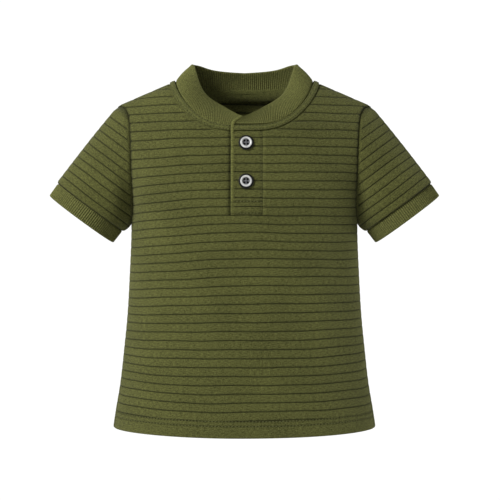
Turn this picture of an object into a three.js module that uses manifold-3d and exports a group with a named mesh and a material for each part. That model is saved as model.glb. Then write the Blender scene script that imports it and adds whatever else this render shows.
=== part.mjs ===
// A small child's short-sleeved henley shirt, filled out as if worn, in millimetres with +Z up.
// The origin is the middle of the neck, level with the shoulders' neck points. The front faces -Y.
import * as THREE from 'three';
import { mergeVertices } from 'three/addons/utils/BufferGeometryUtils.js';
import Module from 'manifold-3d';

const wasm = await Module();
wasm.setup();

// Cloth, ribs and seams
const CLOTH = 1.2; // one layer of the ribbed jersey, measured in a groove
const FOLDED = 2.0; // two layers of fine rib knit
const SEAM_GAP = 0.3;
const RIB_PITCH = 7.5;
const RIB_HEIGHT = 0.8;
const GROOVE_SIDE = 1.1; // from the groove's bottom to the rib's flat top
const RIB_FADE = 1.5; // the ribs end over this distance at the neck's binding

// Body
const HEM_Z = -309;
const HEM_DEPTH = 15; // the turned-up hem, up to its upper row of stitching
const HEM_LIFT = 0.6; // the hem's second layer
const HEM_DROOP = 2.6; // the hem hangs lower at the middle than at the sides
const DOME_Z = -110; // above this the body closes towards the shoulders
const FULLNESS = 2.4; // exponent of the body's rounded-oval sections
const NECK_HALF = 61.7;
const NECK_CREST = 11; // how far the body's form would rise under the neck hole
const SHOULDER_SLOPE = 0.43;
const NECK_FRONT = 50; // the neckline's reach in front of the shoulder ridge
const NECK_BACK = 29.6;
const NECK_SQUARE_FRONT = 2.75;
const NECK_SQUARE_BACK = 2.3;
const NECK_MIDDLE_Y = -10;
const RIB_DIP = 5; // the ribs fall this much towards the wearer's right side, high on the body
const DIP_REACH = 100; // the x at which the ribs have fallen that much
const DIP_FADE = { none: -290, low: -170, high: -90, top: -30 }; // heights between which the fall comes and goes
const DROOP_FADE = { top: -150, full: -270 }; // heights between which the hem's droop fades out

// Half width and depths of the body at each height, up to the virtual width under the sleeves
const BODY = [
  { z: -320, half: 118.5, front: 66, back: 62 },
  { z: -297, half: 115.2, front: 66, back: 61.5 },
  { z: -270, half: 110.7, front: 65.5, back: 60.5 },
  { z: -238, half: 107.1, front: 64.5, back: 59 },
  { z: -210, half: 104.4, front: 63.5, back: 57.5 },
  { z: -178, half: 102.6, front: 62, back: 56.5 },
  { z: -135, half: 100.8, front: 60.5, back: 56.5 },
  { z: -120, half: 101.7, front: 60, back: 57 },
  { z: -100, half: 107, front: 60, back: 57.5 },
  { z: -75, half: 114, front: 60, back: 58 },
  { z: -40, half: 121, front: 60, back: 58 },
  { z: 20, half: 126, front: 60, back: 58 },
];

// Seams
const ARM_TOP_Z = -22; // shoulder point
const ARM_BOTTOM_Z = -128; // underarm point
const ARM_HALF_DEPTH = 30;
const ARM_Y = -3;
const ARM_GAP = 0.5; // the sleeve's ring inside the armhole's
const SIDE_SEAM_HEM_Y = -17; // the side seam swings forward towards the hem
const SHOULDER_SEAM_NECK_Y = -12; // the shoulder seam lies in front of the ridge
const SHOULDER_X = 112;

// Sleeves and cuffs, for the +X side
const CUFF_SEAM = { x: 138.2, y: -3, z: -112.5 };
const CUFF_ANGLE = 53.5; // the sleeve's slope below level, degrees
const SLEEVE_HALF_WIDTH = 36.4;
const SLEEVE_HALF_DEPTH = 30;
const SLEEVE_BULGE = 3.4;
const CUFF_DEPTH = 13.8;
const CUFF_STEP = 0.9; // the cuff is this much narrower than the sleeve all round
const CUFF_TAPER = 0.3;

// Neck pieces
const BINDING_WIDTH = 5.2;
const BINDING_THICK = 1.2;
const BINDING_OVER = 0.7; // the binding lies this far over the panels' grooves
const PANEL_NECK_SETBACK = 2; // how far the panels' edges lie below the collar seam, under the binding
const TAPE_WIDTH = 8;
const TAPE_THICK = 1;
const TAPE_UNDER = 1.7; // the tape's clearance inside the back, whose facets sag towards it
// Height and lean of the collar round the neck, from the front middle (0) to the back middle (180)
const COLLAR = [
  { at: -6, height: 2, lean: 40 },
  { at: 0, height: 14, lean: 43 },
  { at: 6, height: 18.5, lean: 48 },
  { at: 13, height: 22.5, lean: 51 },
  { at: 25, height: 24.2, lean: 53 },
  { at: 39, height: 24.5, lean: 49 },
  { at: 56, height: 23.6, lean: 45 },
  { at: 73, height: 22.6, lean: 43 },
  { at: 90, height: 22.2, lean: 45 },
  { at: 112, height: 22.5, lean: 54 },
  { at: 135, height: 23, lean: 62 },
  { at: 155, height: 20, lean: 68 },
  { at: 180, height: 17.5, lean: 74 },
];
const COLLAR_BULGE = 1.2;
const COLLAR_UNDERLAP = 8; // the lower end runs this far past the middle
const COLLAR_LAP = 2.4; // how far the collar's upper end is raised over its lower end
const COLLAR_LAP_AT = { none: 25, rise: 19 }; // turns from the front middle, degrees

// Placket and buttons
const PLACKET_FREE_X = -11.7;
const PLACKET_SEWN_X = 15.8;
const PLACKET_BOTTOM_RIB = 23; // the groove, counted up from the hem's stitching, where the placket ends
const PLACKET_LIFT = 0.6;
const UNDER_X = [-15.5, 13];
const UNDER_GAP = 0.5;
const UNDER_THICK = 1.6;
const UNDER_DROP = 6; // the under strip's tail below the placket's box
const BUTTON = { x: 1.7, zs: [-59, -92.1], radius: 6.2, thick: 2.4, rim: 1, well: 2.9, wellDepth: 0.9 };
const BUTTON_HOLE = { radius: 0.8, offset: 1.15 };

const V = (x, y, z) => new THREE.Vector3(x, y, z);
const radians = THREE.MathUtils.degToRad;
const clamp01 = (t) => Math.min(1, Math.max(0, t));
const mix = THREE.MathUtils.lerp;
const smooth = (t) => clamp01(t) ** 2 * (3 - 2 * clamp01(t));

// Reads a named column of a table at a place along its first column, by a smooth curve through the rows.
function readTable(table, along, column, at) {
  const last = table.length - 1;
  let i = table.findIndex((row) => row[along] > at) - 1;
  if (i === -2) i = at >= table[last][along] ? last - 1 : 0;
  i = Math.max(0, i);
  const [a, b] = [table[i], table[i + 1]];
  const before = table[i - 1] ?? a;
  const after = table[i + 2] ?? b;
  const span = b[along] - a[along];
  const t = clamp01((at - a[along]) / span);
  const slopeA = ((b[column] - before[column]) / (b[along] - before[along])) * span;
  const slopeB = ((after[column] - a[column]) / (after[along] - a[along])) * span;
  const [t2, t3] = [t * t, t * t * t];
  return (
    (2 * t3 - 3 * t2 + 1) * a[column] +
    (t3 - 2 * t2 + t) * slopeA +
    (3 * t2 - 2 * t3) * b[column] +
    (t3 - t2) * slopeB
  );
}

// Body surface: rounded-oval sections that close along the ridge of the shoulders

const bodySize = (z, column) => readTable(BODY, 'z', column, z);

function ridge(x) {
  const reach = Math.abs(x);
  if (reach > NECK_HALF) return -(reach - NECK_HALF) * SHOULDER_SLOPE;
  return NECK_CREST * (1 - (reach / NECK_HALF) ** 2);
}

function depthAt(x, z, column) {
  const across = Math.abs(x) / bodySize(z, 'half');
  if (across >= 1) return 0;
  const depth = bodySize(z, column) * (1 - across ** FULLNESS) ** (1 / FULLNESS);
  if (z <= DOME_Z) return depth;
  const rise = (z - DOME_Z) / (ridge(x) - DOME_Z);
  return rise >= 1 ? 0 : depth * Math.sqrt(1 - rise * rise);
}

// The body's half width where its front and back surfaces meet
function edgeX(z) {
  const half = bodySize(z, 'half');
  if (z <= DOME_Z) return half;
  const onRidge = z < 0 ? NECK_HALF - z / SHOULDER_SLOPE : NECK_HALF * Math.sqrt(1 - z / NECK_CREST);
  return Math.min(half, onRidge);
}

// A point at a turn from the front middle (0) over the side (90) to the back middle (180)
function bodyPoint(turn, z, side = 1) {
  const x = edgeX(z) * Math.sin(turn);
  const front = Math.cos(turn) > 0;
  const y = front ? -depthAt(x, z, 'front') : depthAt(x, z, 'back');
  return V(side * x, y, z);
}

function turnAt(z, y) {
  let [low, high] = [0, Math.PI];
  for (let step = 0; step < 40; step += 1) {
    const middle = (low + high) / 2;
    if (bodyPoint(middle, z).y < y) low = middle;
    else high = middle;
  }
  return (low + high) / 2;
}

// Zero on the body surface and positive outside it
function outside(p) {
  const column = p.y < 0 ? 'front' : 'back';
  const across = Math.abs(p.x) / bodySize(p.z, 'half');
  const depth = bodySize(p.z, column);
  const rise = p.z > DOME_Z ? (p.z - DOME_Z) / (ridge(p.x) - DOME_Z) : 0;
  if (rise > 0.5) {
    const full = depth * Math.max(0.01, 1 - across ** FULLNESS) ** (1 / FULLNESS);
    return (p.y / full) ** 2 + rise * rise - 1;
  }
  const low = depth * Math.sqrt(1 - rise * rise);
  return (Math.abs(p.y) / low) ** FULLNESS + across ** FULLNESS - 1;
}

function gradient(p) {
  const step = 0.02;
  const along = (dx, dy, dz) => {
    const d = V(dx, dy, dz).multiplyScalar(step);
    return (outside(p.clone().add(d)) - outside(p.clone().sub(d))) / (2 * step);
  };
  return V(along(1, 0, 0), along(0, 1, 0), along(0, 0, 1));
}

const bodyNormal = (p) => gradient(p).normalize();

function ontoBody(p) {
  const q = p.clone();
  for (let step = 0; step < 5; step += 1) {
    const g = gradient(q);
    q.addScaledVector(g, -outside(q) / g.lengthSq());
  }
  return q;
}

// Neckline: a rounded oval in plan, dropped onto the body surface

function neckSeam(turn, side) {
  const back = Math.cos(turn) < 0;
  const power = 2 / (back ? NECK_SQUARE_BACK : NECK_SQUARE_FRONT);
  const reach = back ? NECK_BACK : -NECK_FRONT;
  const x = NECK_HALF * Math.sign(Math.sin(turn)) * Math.abs(Math.sin(turn)) ** power;
  const y = reach * Math.abs(Math.cos(turn)) ** power;
  const depth = bodySize(ARM_TOP_Z, back ? 'back' : 'front');
  const across = Math.abs(x) / bodySize(ARM_TOP_Z, 'half');
  const share = Math.abs(y) / (depth * (1 - across ** FULLNESS) ** (1 / FULLNESS));
  const z = DOME_Z + (ridge(x) - DOME_Z) * Math.sqrt(1 - share * share);
  const p = ontoBody(V(x, y, z));
  return V(side * p.x, p.y, p.z);
}

function alongNeck(turn, side) {
  const step = 0.02;
  return neckSeam(turn + step, side).sub(neckSeam(turn - step, side)).normalize();
}

// A point set back from the collar seam along the body, and out from the body
function neckPoint(turn, side, setback, out) {
  const seam = neckSeam(turn, side);
  const away = alongNeck(turn, side).cross(bodyNormal(seam)).normalize();
  if (away.dot(V(seam.x, seam.y - NECK_MIDDLE_Y, 0)) < 0) away.negate();
  const p = ontoBody(seam.addScaledVector(away, setback));
  return p.addScaledVector(bodyNormal(p), out);
}

const TURNS = Array.from({ length: 61 }, (_, i) => (Math.PI * i) / 60);
const PANEL_NECK = TURNS.map((turn) => neckPoint(turn, 1, PANEL_NECK_SETBACK, 0));
const SEAM_LINE = TURNS.map((turn) => neckSeam(turn, 1));
const NECK_TOP = PANEL_NECK.reduce((best, p) => (p.z > best.z ? p : best));
const NECK_TOP_INDEX = PANEL_NECK.indexOf(NECK_TOP);
const NECK_FRONT_LINE = PANEL_NECK.slice(0, NECK_TOP_INDEX + 1);
const NECK_BACK_LINE = PANEL_NECK.slice(NECK_TOP_INDEX).reverse();

// Where a line of points that rises in z crosses a height
function crossing(line, z) {
  const i = Math.max(1, line.findIndex((p) => p.z >= z));
  const t = clamp01((z - line[i - 1].z) / (line[i].z - line[i - 1].z));
  return line[i - 1].clone().lerp(line[i], t);
}

const SHOULDER_LINE = Array.from({ length: 25 }, (_, i) => {
  const t = i / 24;
  const x = mix(SHOULDER_X, NECK_HALF, t);
  const y = mix(ARM_Y, SHOULDER_SEAM_NECK_Y, t);
  return ontoBody(V(x, y, ridge(x) - 1));
});
SHOULDER_LINE[0].z = ARM_TOP_Z;
// The height at which the shoulder seam runs under the collar's binding
const CORNER = SHOULDER_LINE.find((p) => crossing(NECK_FRONT_LINE, p.z).x > p.x) ?? SHOULDER_LINE.at(-1);

// The y of a panel's outer edge at a height: side seam, armhole, shoulder seam, then the neckline
function outerEdgeY(z, face) {
  const gap = (face * SEAM_GAP) / 2;
  if (z < ARM_BOTTOM_Z) {
    const down = (ARM_BOTTOM_Z - z) / (ARM_BOTTOM_Z - HEM_Z);
    return mix(ARM_Y, SIDE_SEAM_HEM_Y, down) + gap;
  }
  if (z <= ARM_TOP_Z) {
    const middle = (ARM_TOP_Z + ARM_BOTTOM_Z) / 2;
    const up = (z - middle) / (ARM_TOP_Z - middle);
    return ARM_Y + face * ARM_HALF_DEPTH * Math.sqrt(Math.max(0, 1 - up * up)) + gap;
  }
  if (z < CORNER.z) return crossing(SHOULDER_LINE, z).y + gap;
  return crossing(NECK_FRONT_LINE, z).y;
}

// How far a row of ribs leaves its level at x
function rowDip(x, z) {
  const fade = (from, to) => smooth((z - from) / (to - from));
  const droop = HEM_DROOP * fade(DROOP_FADE.top, DROOP_FADE.full);
  const shape = Math.max(0, 1 - (x / bodySize(z, 'half')) ** 2);
  const dip = x < 0 ? RIB_DIP * fade(DIP_FADE.none, DIP_FADE.low) * fade(DIP_FADE.top, DIP_FADE.high) : 0;
  return -droop * shape - dip * (Math.abs(x) / DIP_REACH) ** 1.5;
}

// Ribs: flat-topped, with narrow grooves between them

const FIRST_GROOVE = HEM_Z + HEM_DEPTH;

function ribProfile(distance) {
  const phase = ((distance % RIB_PITCH) + RIB_PITCH) % RIB_PITCH;
  return RIB_HEIGHT * clamp01(Math.min(phase, RIB_PITCH - phase) / GROOVE_SIDE);
}

const ribSteps = (from, to) => {
  const steps = [];
  for (let groove = from; groove < to; groove += RIB_PITCH) {
    steps.push(groove, groove + GROOVE_SIDE, groove + RIB_PITCH - GROOVE_SIDE);
  }
  return steps.filter((step) => step < to);
};

function clearOfNeck(p) {
  const q = V(Math.abs(p.x), p.y, p.z);
  const near = Math.min(...SEAM_LINE.map((s) => s.distanceTo(q)));
  return smooth((near - BINDING_WIDTH) / RIB_FADE - 0.4);
}

// The plain hem is raised by its second layer, except at its fold and its stitching
function bodyLift(p, level) {
  if (level <= HEM_Z) return 0;
  if (level < FIRST_GROOVE) return HEM_LIFT;
  return ribProfile(level - FIRST_GROOVE) * clearOfNeck(p);
}

// Closed bodies from strips and grids of points

class Body {
  constructor() {
    this.corners = [];
  }

  triangle(a, b, c) {
    const tiny = 0.004;
    if (a.distanceTo(b) < tiny || b.distanceTo(c) < tiny || c.distanceTo(a) < tiny) return;
    this.corners.push(a, b, c);
  }

  // Joins two lines of points by triangles, always across the shorter way
  strip(a, b) {
    let [i, j] = [0, 0];
    while (i < a.length - 1 || j < b.length - 1) {
      const canA = i < a.length - 1;
      const canB = j < b.length - 1;
      if (canA && (!canB || a[i + 1].distanceTo(b[j]) <= a[i].distanceTo(b[j + 1]))) {
        this.triangle(a[i], a[i + 1], b[j]);
        i += 1;
      } else {
        this.triangle(a[i], b[j + 1], b[j]);
        j += 1;
      }
    }
  }

  grid(rows) {
    for (let r = 1; r < rows.length; r += 1) {
      for (let c = 1; c < rows[r].length; c += 1) {
        this.triangle(rows[r - 1][c - 1], rows[r - 1][c], rows[r][c]);
        this.triangle(rows[r - 1][c - 1], rows[r][c], rows[r][c - 1]);
      }
    }
  }

  // Merges the corners and turns every face outwards
  geometry() {
    const soup = new THREE.BufferGeometry().setFromPoints(this.corners);
    const merged = mergeVertices(soup, 1e-3);
    const faces = [];
    const index = merged.index.array;
    for (let i = 0; i < index.length; i += 3) faces.push([index[i], index[i + 1], index[i + 2]]);
    const edges = new Map();
    const key = (a, b) => `${Math.min(a, b)}_${Math.max(a, b)}`;
    faces.forEach((face, f) => {
      face.forEach((a, k) => {
        const name = key(a, face[(k + 1) % 3]);
        edges.set(name, [...(edges.get(name) ?? []), f]);
      });
    });
    const forward = (face, a, b) => face.some((v, k) => v === a && face[(k + 1) % 3] === b);
    const seen = new Set([0]);
    const waiting = [0];
    while (waiting.length) {
      const face = faces[waiting.pop()];
      face.forEach((a, k) => {
        const b = face[(k + 1) % 3];
        for (const next of edges.get(key(a, b))) {
          if (seen.has(next)) continue;
          if (forward(faces[next], a, b)) faces[next].reverse();
          seen.add(next);
          waiting.push(next);
        }
      });
    }
    const at = (v) => new THREE.Vector3().fromBufferAttribute(merged.attributes.position, v);
    const volume = faces.reduce((sum, [a, b, c]) => sum + at(a).dot(at(b).cross(at(c))), 0);
    if (volume < 0) faces.forEach((face) => face.reverse());
    merged.setIndex(faces.flat());
    merged.computeVertexNormals();
    return merged;
  }
}

// Front and back panels

const COLUMNS = 5;
const CORNER_SETBACK = 1.2; // the front's top corner stops short under the binding
const ROW_GAP = 0.25; // rows of points lie further apart than this
const TOP_MARGIN = 0.6; // no row lies nearer than this to the panel's top point

const SHOULDER_LEVELS = [12, 14, 16, 18, 20, 22].map((i) => SHOULDER_LINE[i].z);
const NECK_LEVEL = -47; // above this the plain inside has every row of the ribbed outside

function panelLevels(top, extra) {
  const hem = [HEM_Z, HEM_Z + GROOVE_SIDE, FIRST_GROOVE - GROOVE_SIDE];
  const underarm = [8, 14, 20].map((turn) => {
    const middle = (ARM_TOP_Z + ARM_BOTTOM_Z) / 2;
    return middle + (ARM_BOTTOM_Z - middle) * Math.cos(radians(turn));
  });
  const ribs = ribSteps(FIRST_GROOVE, top - TOP_MARGIN);
  const all = [...hem, ...ribs, ...underarm, ARM_TOP_Z, ...SHOULDER_LEVELS, ...extra];
  const sorted = all.sort((a, b) => a - b);
  const kept = sorted.filter((z, i) => z < top - TOP_MARGIN && (i === 0 || z - sorted[i - 1] > ROW_GAP));
  return [...kept, top];
}

// One half of a panel's row at a level, from its inner edge to its outer edge
function panelRow(level, face, side, slotX) {
  const neckLine = face < 0 ? NECK_FRONT_LINE : NECK_BACK_LINE;
  const neckX = level > neckLine[0].z ? crossing(neckLine, level).x : 0;
  const settle = (turnOf) => {
    let z = level;
    for (let step = 0; step < 4; step += 1) z = level + rowDip(bodyPoint(turnOf(z), z, side).x, level);
    return turnOf(z);
  };
  const innerTurn = (z) => {
    const turn = Math.asin(Math.min(1, Math.max(slotX, neckX) / edgeX(z)));
    return face < 0 ? turn : Math.PI - turn;
  };
  const outerTurn = (z) => turnAt(z, outerEdgeY(z, face));
  const [from, to] = [settle(innerTurn), settle(outerTurn)];
  return Array.from({ length: COLUMNS + 1 }, (_, c) => {
    const turn = mix(from, to, c / COLUMNS);
    let z = level;
    for (let step = 0; step < 4; step += 1) z = level + rowDip(bodyPoint(turn, z, side).x, level);
    return bodyPoint(turn, z, side);
  });
}

const lifted = (row, level) => row.map((p) => p.clone().addScaledVector(bodyNormal(p), bodyLift(p, level)));
const sunk = (row, depth) => row.map((p) => p.clone().addScaledVector(bodyNormal(p), -depth));
const columnOf = (rows, c) => rows.map((row) => row[c]);

function panel(face, top, extra, slots, splitLevel) {
  const body = new Body();
  const levels = panelLevels(top, extra);
  const split = levels.findIndex((z) => z > splitLevel - 0.1);
  const isInner = (z, i) => {
    if (i < 1 || i === split || z > NECK_LEVEL) return true;
    const groove = (z - FIRST_GROOVE) / RIB_PITCH;
    return Math.abs(groove - Math.round(groove)) < 0.01 && Math.round(groove) % 2 === 1;
  };
  const innerLevels = levels.filter(isInner);
  const halves = [1, -1].map((side, h) => {
    const rows = levels.map((z) => panelRow(z, face, side, slots[h]));
    rows.at(-1).fill(rows.at(-1)[Math.ceil(COLUMNS / 2)]);
    const outer = rows.map((row, i) => lifted(row, levels[i]));
    const inner = rows.filter((_, i) => innerLevels.includes(levels[i])).map((row) => sunk(row, CLOTH));
    body.grid(outer);
    body.grid(inner);
    body.strip(columnOf(outer, COLUMNS), columnOf(inner, COLUMNS));
    body.strip(columnOf(outer.slice(split), 0), columnOf(inner.slice(innerLevels.indexOf(levels[split])), 0));
    body.strip(outer[0], inner[0]);
    return { outer, inner };
  });
  if (slots[0] > 0) {
    const [right, left] = halves;
    const innerSplit = innerLevels.indexOf(levels[split]);
    const across = (a, b, last) => a.slice(0, last + 1).map((row, i) => [row[0], b[i][0]]);
    const outer = across(right.outer, left.outer, split);
    const inner = across(right.inner, left.inner, innerSplit);
    body.grid(outer);
    body.grid(inner);
    body.strip(outer[0], inner[0]);
    body.strip(outer.at(-1), inner.at(-1));
  }
  return body.geometry();
}

const SLOT_LEVEL = FIRST_GROOVE + PLACKET_BOTTOM_RIB * RIB_PITCH;

function frontPanel() {
  const slots = [PLACKET_SEWN_X + SEAM_GAP, SEAM_GAP - PLACKET_FREE_X];
  return panel(-1, CORNER.z - CORNER_SETBACK, [], slots, SLOT_LEVEL);
}

function backPanel() {
  const extra = [4, 7, 10, 13, 16, 19, 22, 25].map((i) => NECK_BACK_LINE[i].z);
  const middle = NECK_BACK_LINE[0].z;
  return panel(1, NECK_TOP.z, [middle, ...extra, CORNER.z], [0, 0], middle);
}

// Sleeves: a tube from the armhole to the cuff seam, its ribs parallel to the cuff

const SLEEVE_UP = V(Math.sin(radians(CUFF_ANGLE)), 0, Math.cos(radians(CUFF_ANGLE)));
const SLEEVE_AXIS = V(Math.cos(radians(CUFF_ANGLE)), 0, -Math.sin(radians(CUFF_ANGLE)));
const CUFF_CENTRE = V(CUFF_SEAM.x, CUFF_SEAM.y, CUFF_SEAM.z);

// A point of the tube's end rings at a turn from the top (0), back (90) and underarm (180)
function armholePoint(turn) {
  const middle = (ARM_TOP_Z + ARM_BOTTOM_Z) / 2;
  const z = middle + (ARM_TOP_Z - middle - ARM_GAP) * Math.cos(turn);
  const y = ARM_Y + (ARM_HALF_DEPTH - ARM_GAP) * Math.sin(turn);
  const p = bodyPoint(turnAt(z, y), z);
  return p.add(V(ARM_GAP, 0, 0));
}

function cuffRing(turn, distance, shrink) {
  return CUFF_CENTRE.clone()
    .addScaledVector(SLEEVE_AXIS, distance)
    .addScaledVector(SLEEVE_UP, (SLEEVE_HALF_WIDTH - shrink) * Math.cos(turn))
    .add(V(0, (SLEEVE_HALF_DEPTH - shrink) * Math.sin(turn), 0));
}

const toCuff = (p) => CUFF_CENTRE.clone().sub(p).dot(SLEEVE_AXIS);
const seamDistance = (turn) => toCuff(armholePoint(turn));

function sleevePoint(turn, distance) {
  const share = clamp01(distance / seamDistance(turn));
  const out = SLEEVE_UP.clone().multiplyScalar(Math.cos(turn)).add(V(0, Math.sin(turn), 0));
  const swell = SLEEVE_BULGE * 4 * share * (1 - share) * smooth((Math.cos(turn) + 1.2) / 1.2);
  return cuffRing(turn, 0, 0).lerp(armholePoint(turn), share).addScaledVector(out, swell);
}

function sleeveNormal(turn, distance) {
  const step = 0.02;
  const nearer = Math.max(0, distance - 0.5);
  const round = sleevePoint(turn + step, distance).sub(sleevePoint(turn - step, distance));
  const along = sleevePoint(turn, nearer).sub(sleevePoint(turn, nearer + 0.5));
  const n = round.cross(along).normalize();
  const out = SLEEVE_UP.clone().multiplyScalar(Math.cos(turn)).add(V(0, Math.sin(turn), 0));
  return n.dot(out) < 0 ? n.negate() : n;
}

const SLEEVE_COLUMNS = 18;
const SLEEVE_TOP = Math.min(...[-30, -15, 0, 15, 30].map((turn) => seamDistance(radians(turn)))) - 1;
const SLEEVE_UNDER = seamDistance(Math.PI);

// How far round from the top a row reaches before the armhole cuts it, on the back (1) or front (-1)
function rowReach(distance, face) {
  if (distance <= SLEEVE_UNDER) return Math.PI;
  let [low, high] = [0, Math.PI];
  for (let step = 0; step < 40; step += 1) {
    const middle = (low + high) / 2;
    if (seamDistance(face * middle) > distance) low = middle;
    else high = middle;
  }
  return (low + high) / 2;
}

function sleeve(side) {
  const body = new Body();
  const levels = [...ribSteps(0, SLEEVE_TOP - TOP_MARGIN), SLEEVE_UNDER].sort((a, b) => a - b);
  const all = [...levels.filter((d, i) => i === 0 || d - levels[i - 1] > ROW_GAP), SLEEVE_TOP];
  const make = (depth) => (distance) => {
    const [front, back] = [-1, 1].map((face) => rowReach(Math.min(distance, SLEEVE_TOP), face));
    return Array.from({ length: SLEEVE_COLUMNS + 1 }, (_, c) => {
      const turn = mix(-front, back, c / SLEEVE_COLUMNS);
      const along = Math.min(distance, seamDistance(turn));
      const toSeam = seamDistance(turn) - along;
      const lift = depth > 0 ? -depth : ribProfile(along) * smooth((toSeam - 0.5) / 4);
      const p = sleevePoint(turn, along).addScaledVector(sleeveNormal(turn, along), lift);
      return V(side * p.x, p.y, p.z);
    });
  };
  const innerLevels = all.filter((d, i) => {
    const phase = d % (2 * RIB_PITCH);
    return i === 0 || d >= SLEEVE_TOP || d === SLEEVE_UNDER || phase < 0.01;
  });
  // The last row runs along the armhole itself
  const outer = [...all, Infinity].map(make(0));
  const inner = [...innerLevels, Infinity].map(make(CLOTH));
  body.grid(outer);
  body.grid(inner);
  body.strip(outer[0], inner[0]);
  body.strip(outer.at(-1), inner.at(-1));
  const [cutOuter, cutInner] = [all.indexOf(SLEEVE_UNDER), innerLevels.indexOf(SLEEVE_UNDER)];
  for (const column of [0, SLEEVE_COLUMNS]) {
    body.strip(columnOf(outer.slice(cutOuter), column), columnOf(inner.slice(cutInner), column));
  }
  return body.geometry();
}

// Cuffs: a folded band of rib knit round the sleeve's end

function ring(points, rings) {
  const body = new Body();
  const closed = rings.map((turnPoint) => points.map(turnPoint));
  closed.forEach((row, i) => body.grid([row, closed[(i + 1) % closed.length]]));
  return body;
}

function cuff(side) {
  const turns = Array.from({ length: 33 }, (_, i) => (2 * Math.PI * i) / 32);
  const round = 0.5;
  const section = [
    { along: SEAM_GAP, inset: 0.35 },
    { along: SEAM_GAP + round, inset: 0 },
    { along: CUFF_DEPTH - round, inset: CUFF_TAPER },
    { along: CUFF_DEPTH, inset: CUFF_TAPER + round },
    { along: CUFF_DEPTH, inset: CUFF_TAPER + FOLDED - round },
    { along: CUFF_DEPTH - round, inset: CUFF_TAPER + FOLDED },
    { along: SEAM_GAP, inset: FOLDED },
  ];
  const rings = section.map((corner) => (turn) => {
    const p = cuffRing(turn % (2 * Math.PI), corner.along, CUFF_STEP + corner.inset);
    return V(side * p.x, p.y, p.z);
  });
  return ring(turns, rings).geometry();
}

// Collar: a folded band of rib knit standing on the neckline, its ends lapped at the front

// The turn, in degrees, at which the neckline reaches an x
function neckTurnAt(x) {
  const share = (Math.abs(x) / NECK_HALF) ** (NECK_SQUARE_FRONT / 2);
  return THREE.MathUtils.radToDeg(Math.asin(share)) * Math.sign(x);
}

// The band's stations run from its lower end, round the back, to its upper end
function collar() {
  const body = new Body();
  const lowerEnd = -neckTurnAt(COLLAR_UNDERLAP);
  const upperEnd = neckTurnAt(PLACKET_FREE_X);
  const stops = [lowerEnd, 0, 3, 6, 10, 15, 21, 29, 38, 47, 56, 65, 74, 82, 90, 100, 112, 125, 139, 153, 167];
  const right = stops.map((at) => ({ at, side: -1 }));
  const left = [...stops.slice(1)].reverse().map((at) => ({ at, side: 1 }));
  const end = [upperEnd / 2, upperEnd].map((at) => ({ at, side: 1 }));
  const stations = [...right, { at: 180, side: 1 }, ...left, ...end];
  const sections = stations.map(({ at, side }) => {
    const upper = side > 0 ? COLLAR_LAP * smooth((COLLAR_LAP_AT.none - at) / COLLAR_LAP_AT.rise) : 0;
    const turn = radians(at);
    const seam = neckSeam(turn, side);
    const ahead = alongNeck(turn, side);
    const inward = V(-ahead.y, ahead.x, 0).normalize();
    if (inward.dot(V(-seam.x, NECK_MIDDLE_Y - seam.y, 0)) < 0) inward.negate();
    const lean = radians(readTable(COLLAR, 'at', 'lean', at));
    const height = readTable(COLLAR, 'at', 'height', at);
    const rise = inward.clone().multiplyScalar(Math.cos(lean)).add(V(0, 0, Math.sin(lean)));
    const face = inward.clone().multiplyScalar(-Math.sin(lean)).add(V(0, 0, Math.cos(lean)));
    const base = seam.addScaledVector(rise, SEAM_GAP).addScaledVector(face, upper);
    const place = (up, out) => {
      const bow = COLLAR_BULGE * 4 * up * (1 - up);
      return base.clone().addScaledVector(rise, up * height).addScaledVector(face, out + bow);
    };
    const middle = -FOLDED / 2;
    return [
      place(0, 0), place(0.3, 0), place(0.6, 0), place(0.94, 0), place(1, middle + 0.4),
      place(1, middle - 0.4), place(0.94, -FOLDED), place(0.5, -FOLDED), place(0, -FOLDED),
    ];
  });
  const closed = sections.map((section) => [...section, section[0]]);
  body.grid(closed);
  for (const end of [sections[0], sections.at(-1)]) {
    for (let i = 0; i < 4; i += 1) {
      body.triangle(end[i], end[i + 1], end[8 - i]);
      if (i < 3) body.triangle(end[i + 1], end[7 - i], end[8 - i]);
    }
  }
  return body.geometry();
}

// A narrow strip that follows the neckline between two distances below the collar seam
function neckStrip(stations, near, far, levelOf, thick) {
  const body = new Body();
  const sections = stations.map(({ at, side }) => {
    const level = levelOf(at, side);
    const turn = radians(at);
    const place = (setback, out) => neckPoint(turn, side, setback, level + out);
    const middle = (near + far) / 2;
    const edge = thick * 0.6;
    return [
      place(near, edge), place(near + 0.8, thick), place(middle, thick + 0.15), place(far - 0.8, thick),
      place(far, edge), place(far, 0), place(middle, 0), place(near, 0),
    ];
  });
  const closed = sections.map((section) => [...section, section[0]]);
  body.grid(closed);
  for (const end of [sections[0], sections.at(-1)]) {
    body.triangle(end[0], end[1], end[7]);
    body.triangle(end[1], end[2], end[7]);
    body.triangle(end[2], end[6], end[7]);
    body.triangle(end[2], end[3], end[6]);
    body.triangle(end[3], end[5], end[6]);
    body.triangle(end[3], end[4], end[5]);
  }
  return body.geometry();
}

function stationsBetween(startAt, endAt, count) {
  const whole = 360 - startAt - endAt;
  return Array.from({ length: count + 1 }, (_, i) => {
    const at = startAt + (whole * i) / count;
    return at <= 180 ? { at, side: -1 } : { at: 360 - at, side: 1 };
  });
}

function neckBinding() {
  const start = neckTurnAt(SEAM_GAP - PLACKET_FREE_X);
  const end = neckTurnAt(PLACKET_FREE_X);
  const over = (at, side) => {
    const lap = side > 0 ? smooth((neckTurnAt(PLACKET_SEWN_X + 5) - at) / 8) : 0;
    return BINDING_OVER + PLACKET_LIFT * lap;
  };
  return neckStrip(stationsBetween(start, end, 44), SEAM_GAP, BINDING_WIDTH, over, BINDING_THICK);
}

function neckTape() {
  const level = () => -CLOTH - TAPE_UNDER - TAPE_THICK;
  return neckStrip(stationsBetween(88, 88, 22), SEAM_GAP, TAPE_WIDTH, level, TAPE_THICK);
}

// Placket strips: plates that follow the front panel's points

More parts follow.
